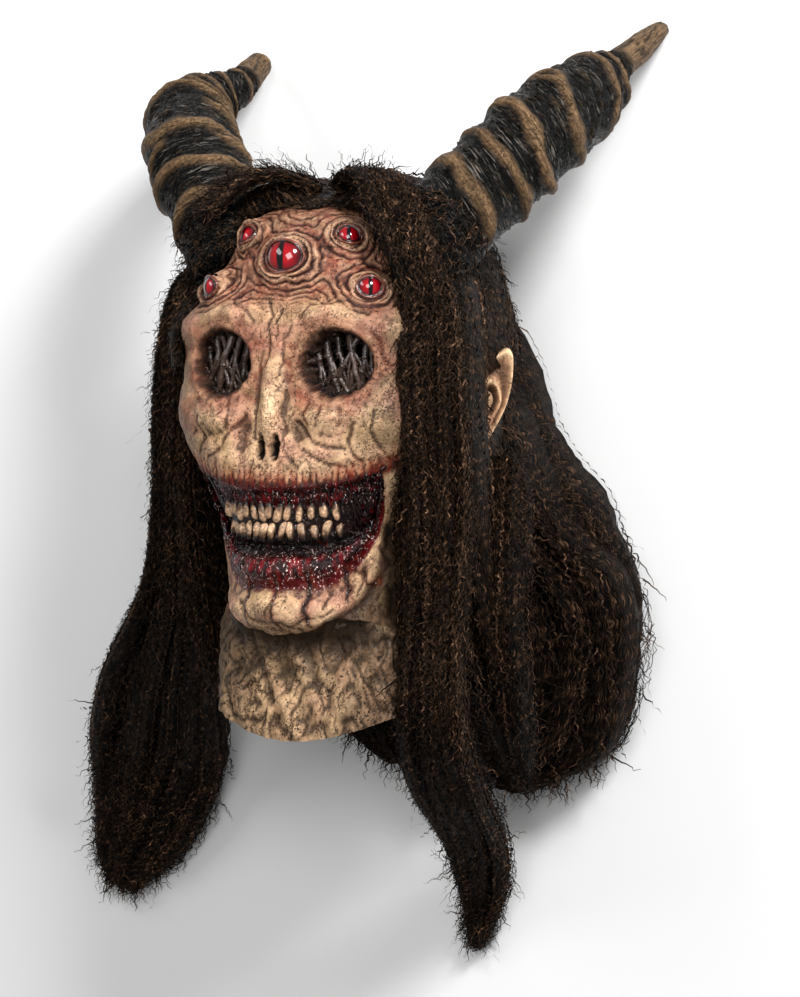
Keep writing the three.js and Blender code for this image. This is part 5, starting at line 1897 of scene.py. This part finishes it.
def scalp_frizz():
    """Low frizz on the latex behind and below the ears."""
    rng = np.random.default_rng(SEED + 32)
    where = rng.uniform(4, LAST_ROW - 4, SCALP_TRIES)
    angle = rng.uniform(-math.pi, math.pi, SCALP_TRIES)
    roots = plain_head(where, angle)
    hairy = scalp(roots) > rng.uniform(0.2, 0.9, SCALP_TRIES)
    roots = roots[hairy & (roots[:, 1] < 20) & (np.abs(roots[:, 0]) > 30)]
    outward = unit(roots * [1, 0, 1])
    flow = np.array([0, -1.0, -0.35])
    return [frizz(roots + outward, outward, flow, rng, 17, size=1.5, half_width=0.7)]


def horn_collars():
    """Frizz that covers the foot of each horn."""
    rng = np.random.default_rng(SEED + 31)
    parts = []
    for rows in HORNS.values():
        share = rng.uniform(0.0, COLLAR["share"], COLLAR["strands"])
        at, along, aside, out = sweep_frames(rows, share)
        turn = rng.uniform(0, TURN, len(share))
        outward = offset(0, aside, out, np.cos(turn), np.sin(turn))
        keep = share < COLLAR["share"] * (0.55 + 0.45 * outward[:, 2] - 0.3 * outward[:, 1])
        roots = at[:, :3] + outward * (at[:, 3:4] + 0.6)
        flow = unit(-along * 0.6 + np.cross(outward, along) * rng.choice([-1, 1], (len(share), 1)) * 0.5)
        places = roots[keep], outward[keep], flow[keep]
        parts.append(frizz(*places, rng, 12, size=1.4, half_width=0.55))
    return parts


def hair():
    material = hair_material()
    parts = crown() + horn_collars() + scalp_frizz()
    for side in (1, -1):
        # Less hair is combed over the foot of the right horn
        over_horn = OVER_HORN if side > 0 else OVER_HORN[:4]
        for rows, counts in ((CURTAIN, CURTAIN_STRANDS), (over_horn, OVER_HORN_STRANDS)):
            mirrored = np.array(rows) * [side, 1, 1, 1, 1, side]
            parts += lock_parts(mirrored, *counts, SEED + 60 + side, 0.8)
    locks = {"hair_crown": parts}
    for index, (name, counts) in enumerate(LOCK_STRANDS.items()):
        locks[name] = lock_parts(LOCKS[name], *counts, SEED + 40 + index)
    locks["hair_fall_back"] = lock_parts(FALL_ROWS, *FALL_STRANDS, SEED + 50, 0.55)
    for name, parts in locks.items():
        add_piece(name + "_strands", parts, material, "crimped_hair", name)


# Floor, light and camera
VIEW = {"across": 27.0, "up": 3.0, "away": 2400.0, "mm_per_px": 0.62, "origin_px": (358, 370)}
PICTURE = (800, 997)
SENSOR = 36.0
FLOOR_SIZE = 14
SKY_STRENGTH = 0.22
# Lights: name, metres to the picture's right, up and near, size, power.
LIGHTS = [
    ("key", 0.75, 1.25, 1.9, (0.5, 0.5), 62),
    ("front", -0.35, 0.35, 2.4, (1.1, 1.1), 24),
    ("side", -1.7, 0.9, 0.9, (0.6, 1.2), 10),
]


def view_axes():
    across, up = math.radians(VIEW["across"]), math.radians(VIEW["up"])
    toward = -np.array(
        [math.sin(across) * math.cos(up), math.sin(up), math.cos(across) * math.cos(up)]
    )
    right = np.array([math.cos(across), 0, -math.sin(across)])
    return right, np.cross(right, toward), toward


def camera():
    right, up, toward = view_axes()
    px = VIEW["mm_per_px"]
    target = right * (PICTURE[0] / 2 - VIEW["origin_px"][0]) * px
    target = target - up * (PICTURE[1] / 2 - VIEW["origin_px"][1]) * px
    spot = place(target - toward * VIEW["away"])
    data = bpy.data.cameras.new("camera")
    data.sensor_width = SENSOR
    data.lens = VIEW["away"] / px / PICTURE[1] * SENSOR
    data.clip_end = 20
    seen = bpy.data.objects.new("camera", data)
    bpy.context.scene.collection.objects.link(seen)
    axes = Matrix((right, up, -toward)).transposed().to_4x4()
    seen.matrix_world = Matrix.Translation(Vector(spot)) @ axes
    bpy.context.scene.camera = seen


def soft_light(name, right_by, up_by, near_by, size, power):
    right, up, toward = view_axes()
    target = place(np.zeros(3))
    spot = target + right * right_by + up * up_by - toward * near_by
    data = bpy.data.lights.new(name, "AREA")
    data.shape = "RECTANGLE"
    data.size, data.size_y = size
    data.energy = power
    light = bpy.data.objects.new(name, data)
    bpy.context.scene.collection.objects.link(light)
    way = Vector(target - spot)
    light.location = Vector(spot)
    light.rotation_euler = way.to_track_quat("-Z", "Y").to_euler()


def floor_and_light():
    bpy.ops.mesh.primitive_plane_add(size=FLOOR_SIZE, location=(0, 0, 0))
    floor = bpy.context.object
    floor.name = "floor"
    n = Nodes("pale floor")
    n.set(Base_Color=(0.93, 0.93, 0.93, 1), Roughness=0.7, Specular_IOR_Level=0.2)
    floor.data.materials.append(n.material)
    world = bpy.data.worlds.new("soft white")
    bpy.context.scene.world = world
    world.use_nodes = True
    sky = world.node_tree.nodes["Background"]
    sky.inputs["Color"].default_value = (1, 1, 1, 1)
    sky.inputs["Strength"].default_value = SKY_STRENGTH
    for light in LIGHTS:
        soft_light(*light)
    bpy.context.scene.view_settings.view_transform = "Standard"


camera()
skin()
inside()
eyeballs()
sinews()
teeth()
mouth_strings()
ears()
horns()
hair()
floor_and_light()


def plain(box):
    return [[float(value) for value in corner] for corner in box]
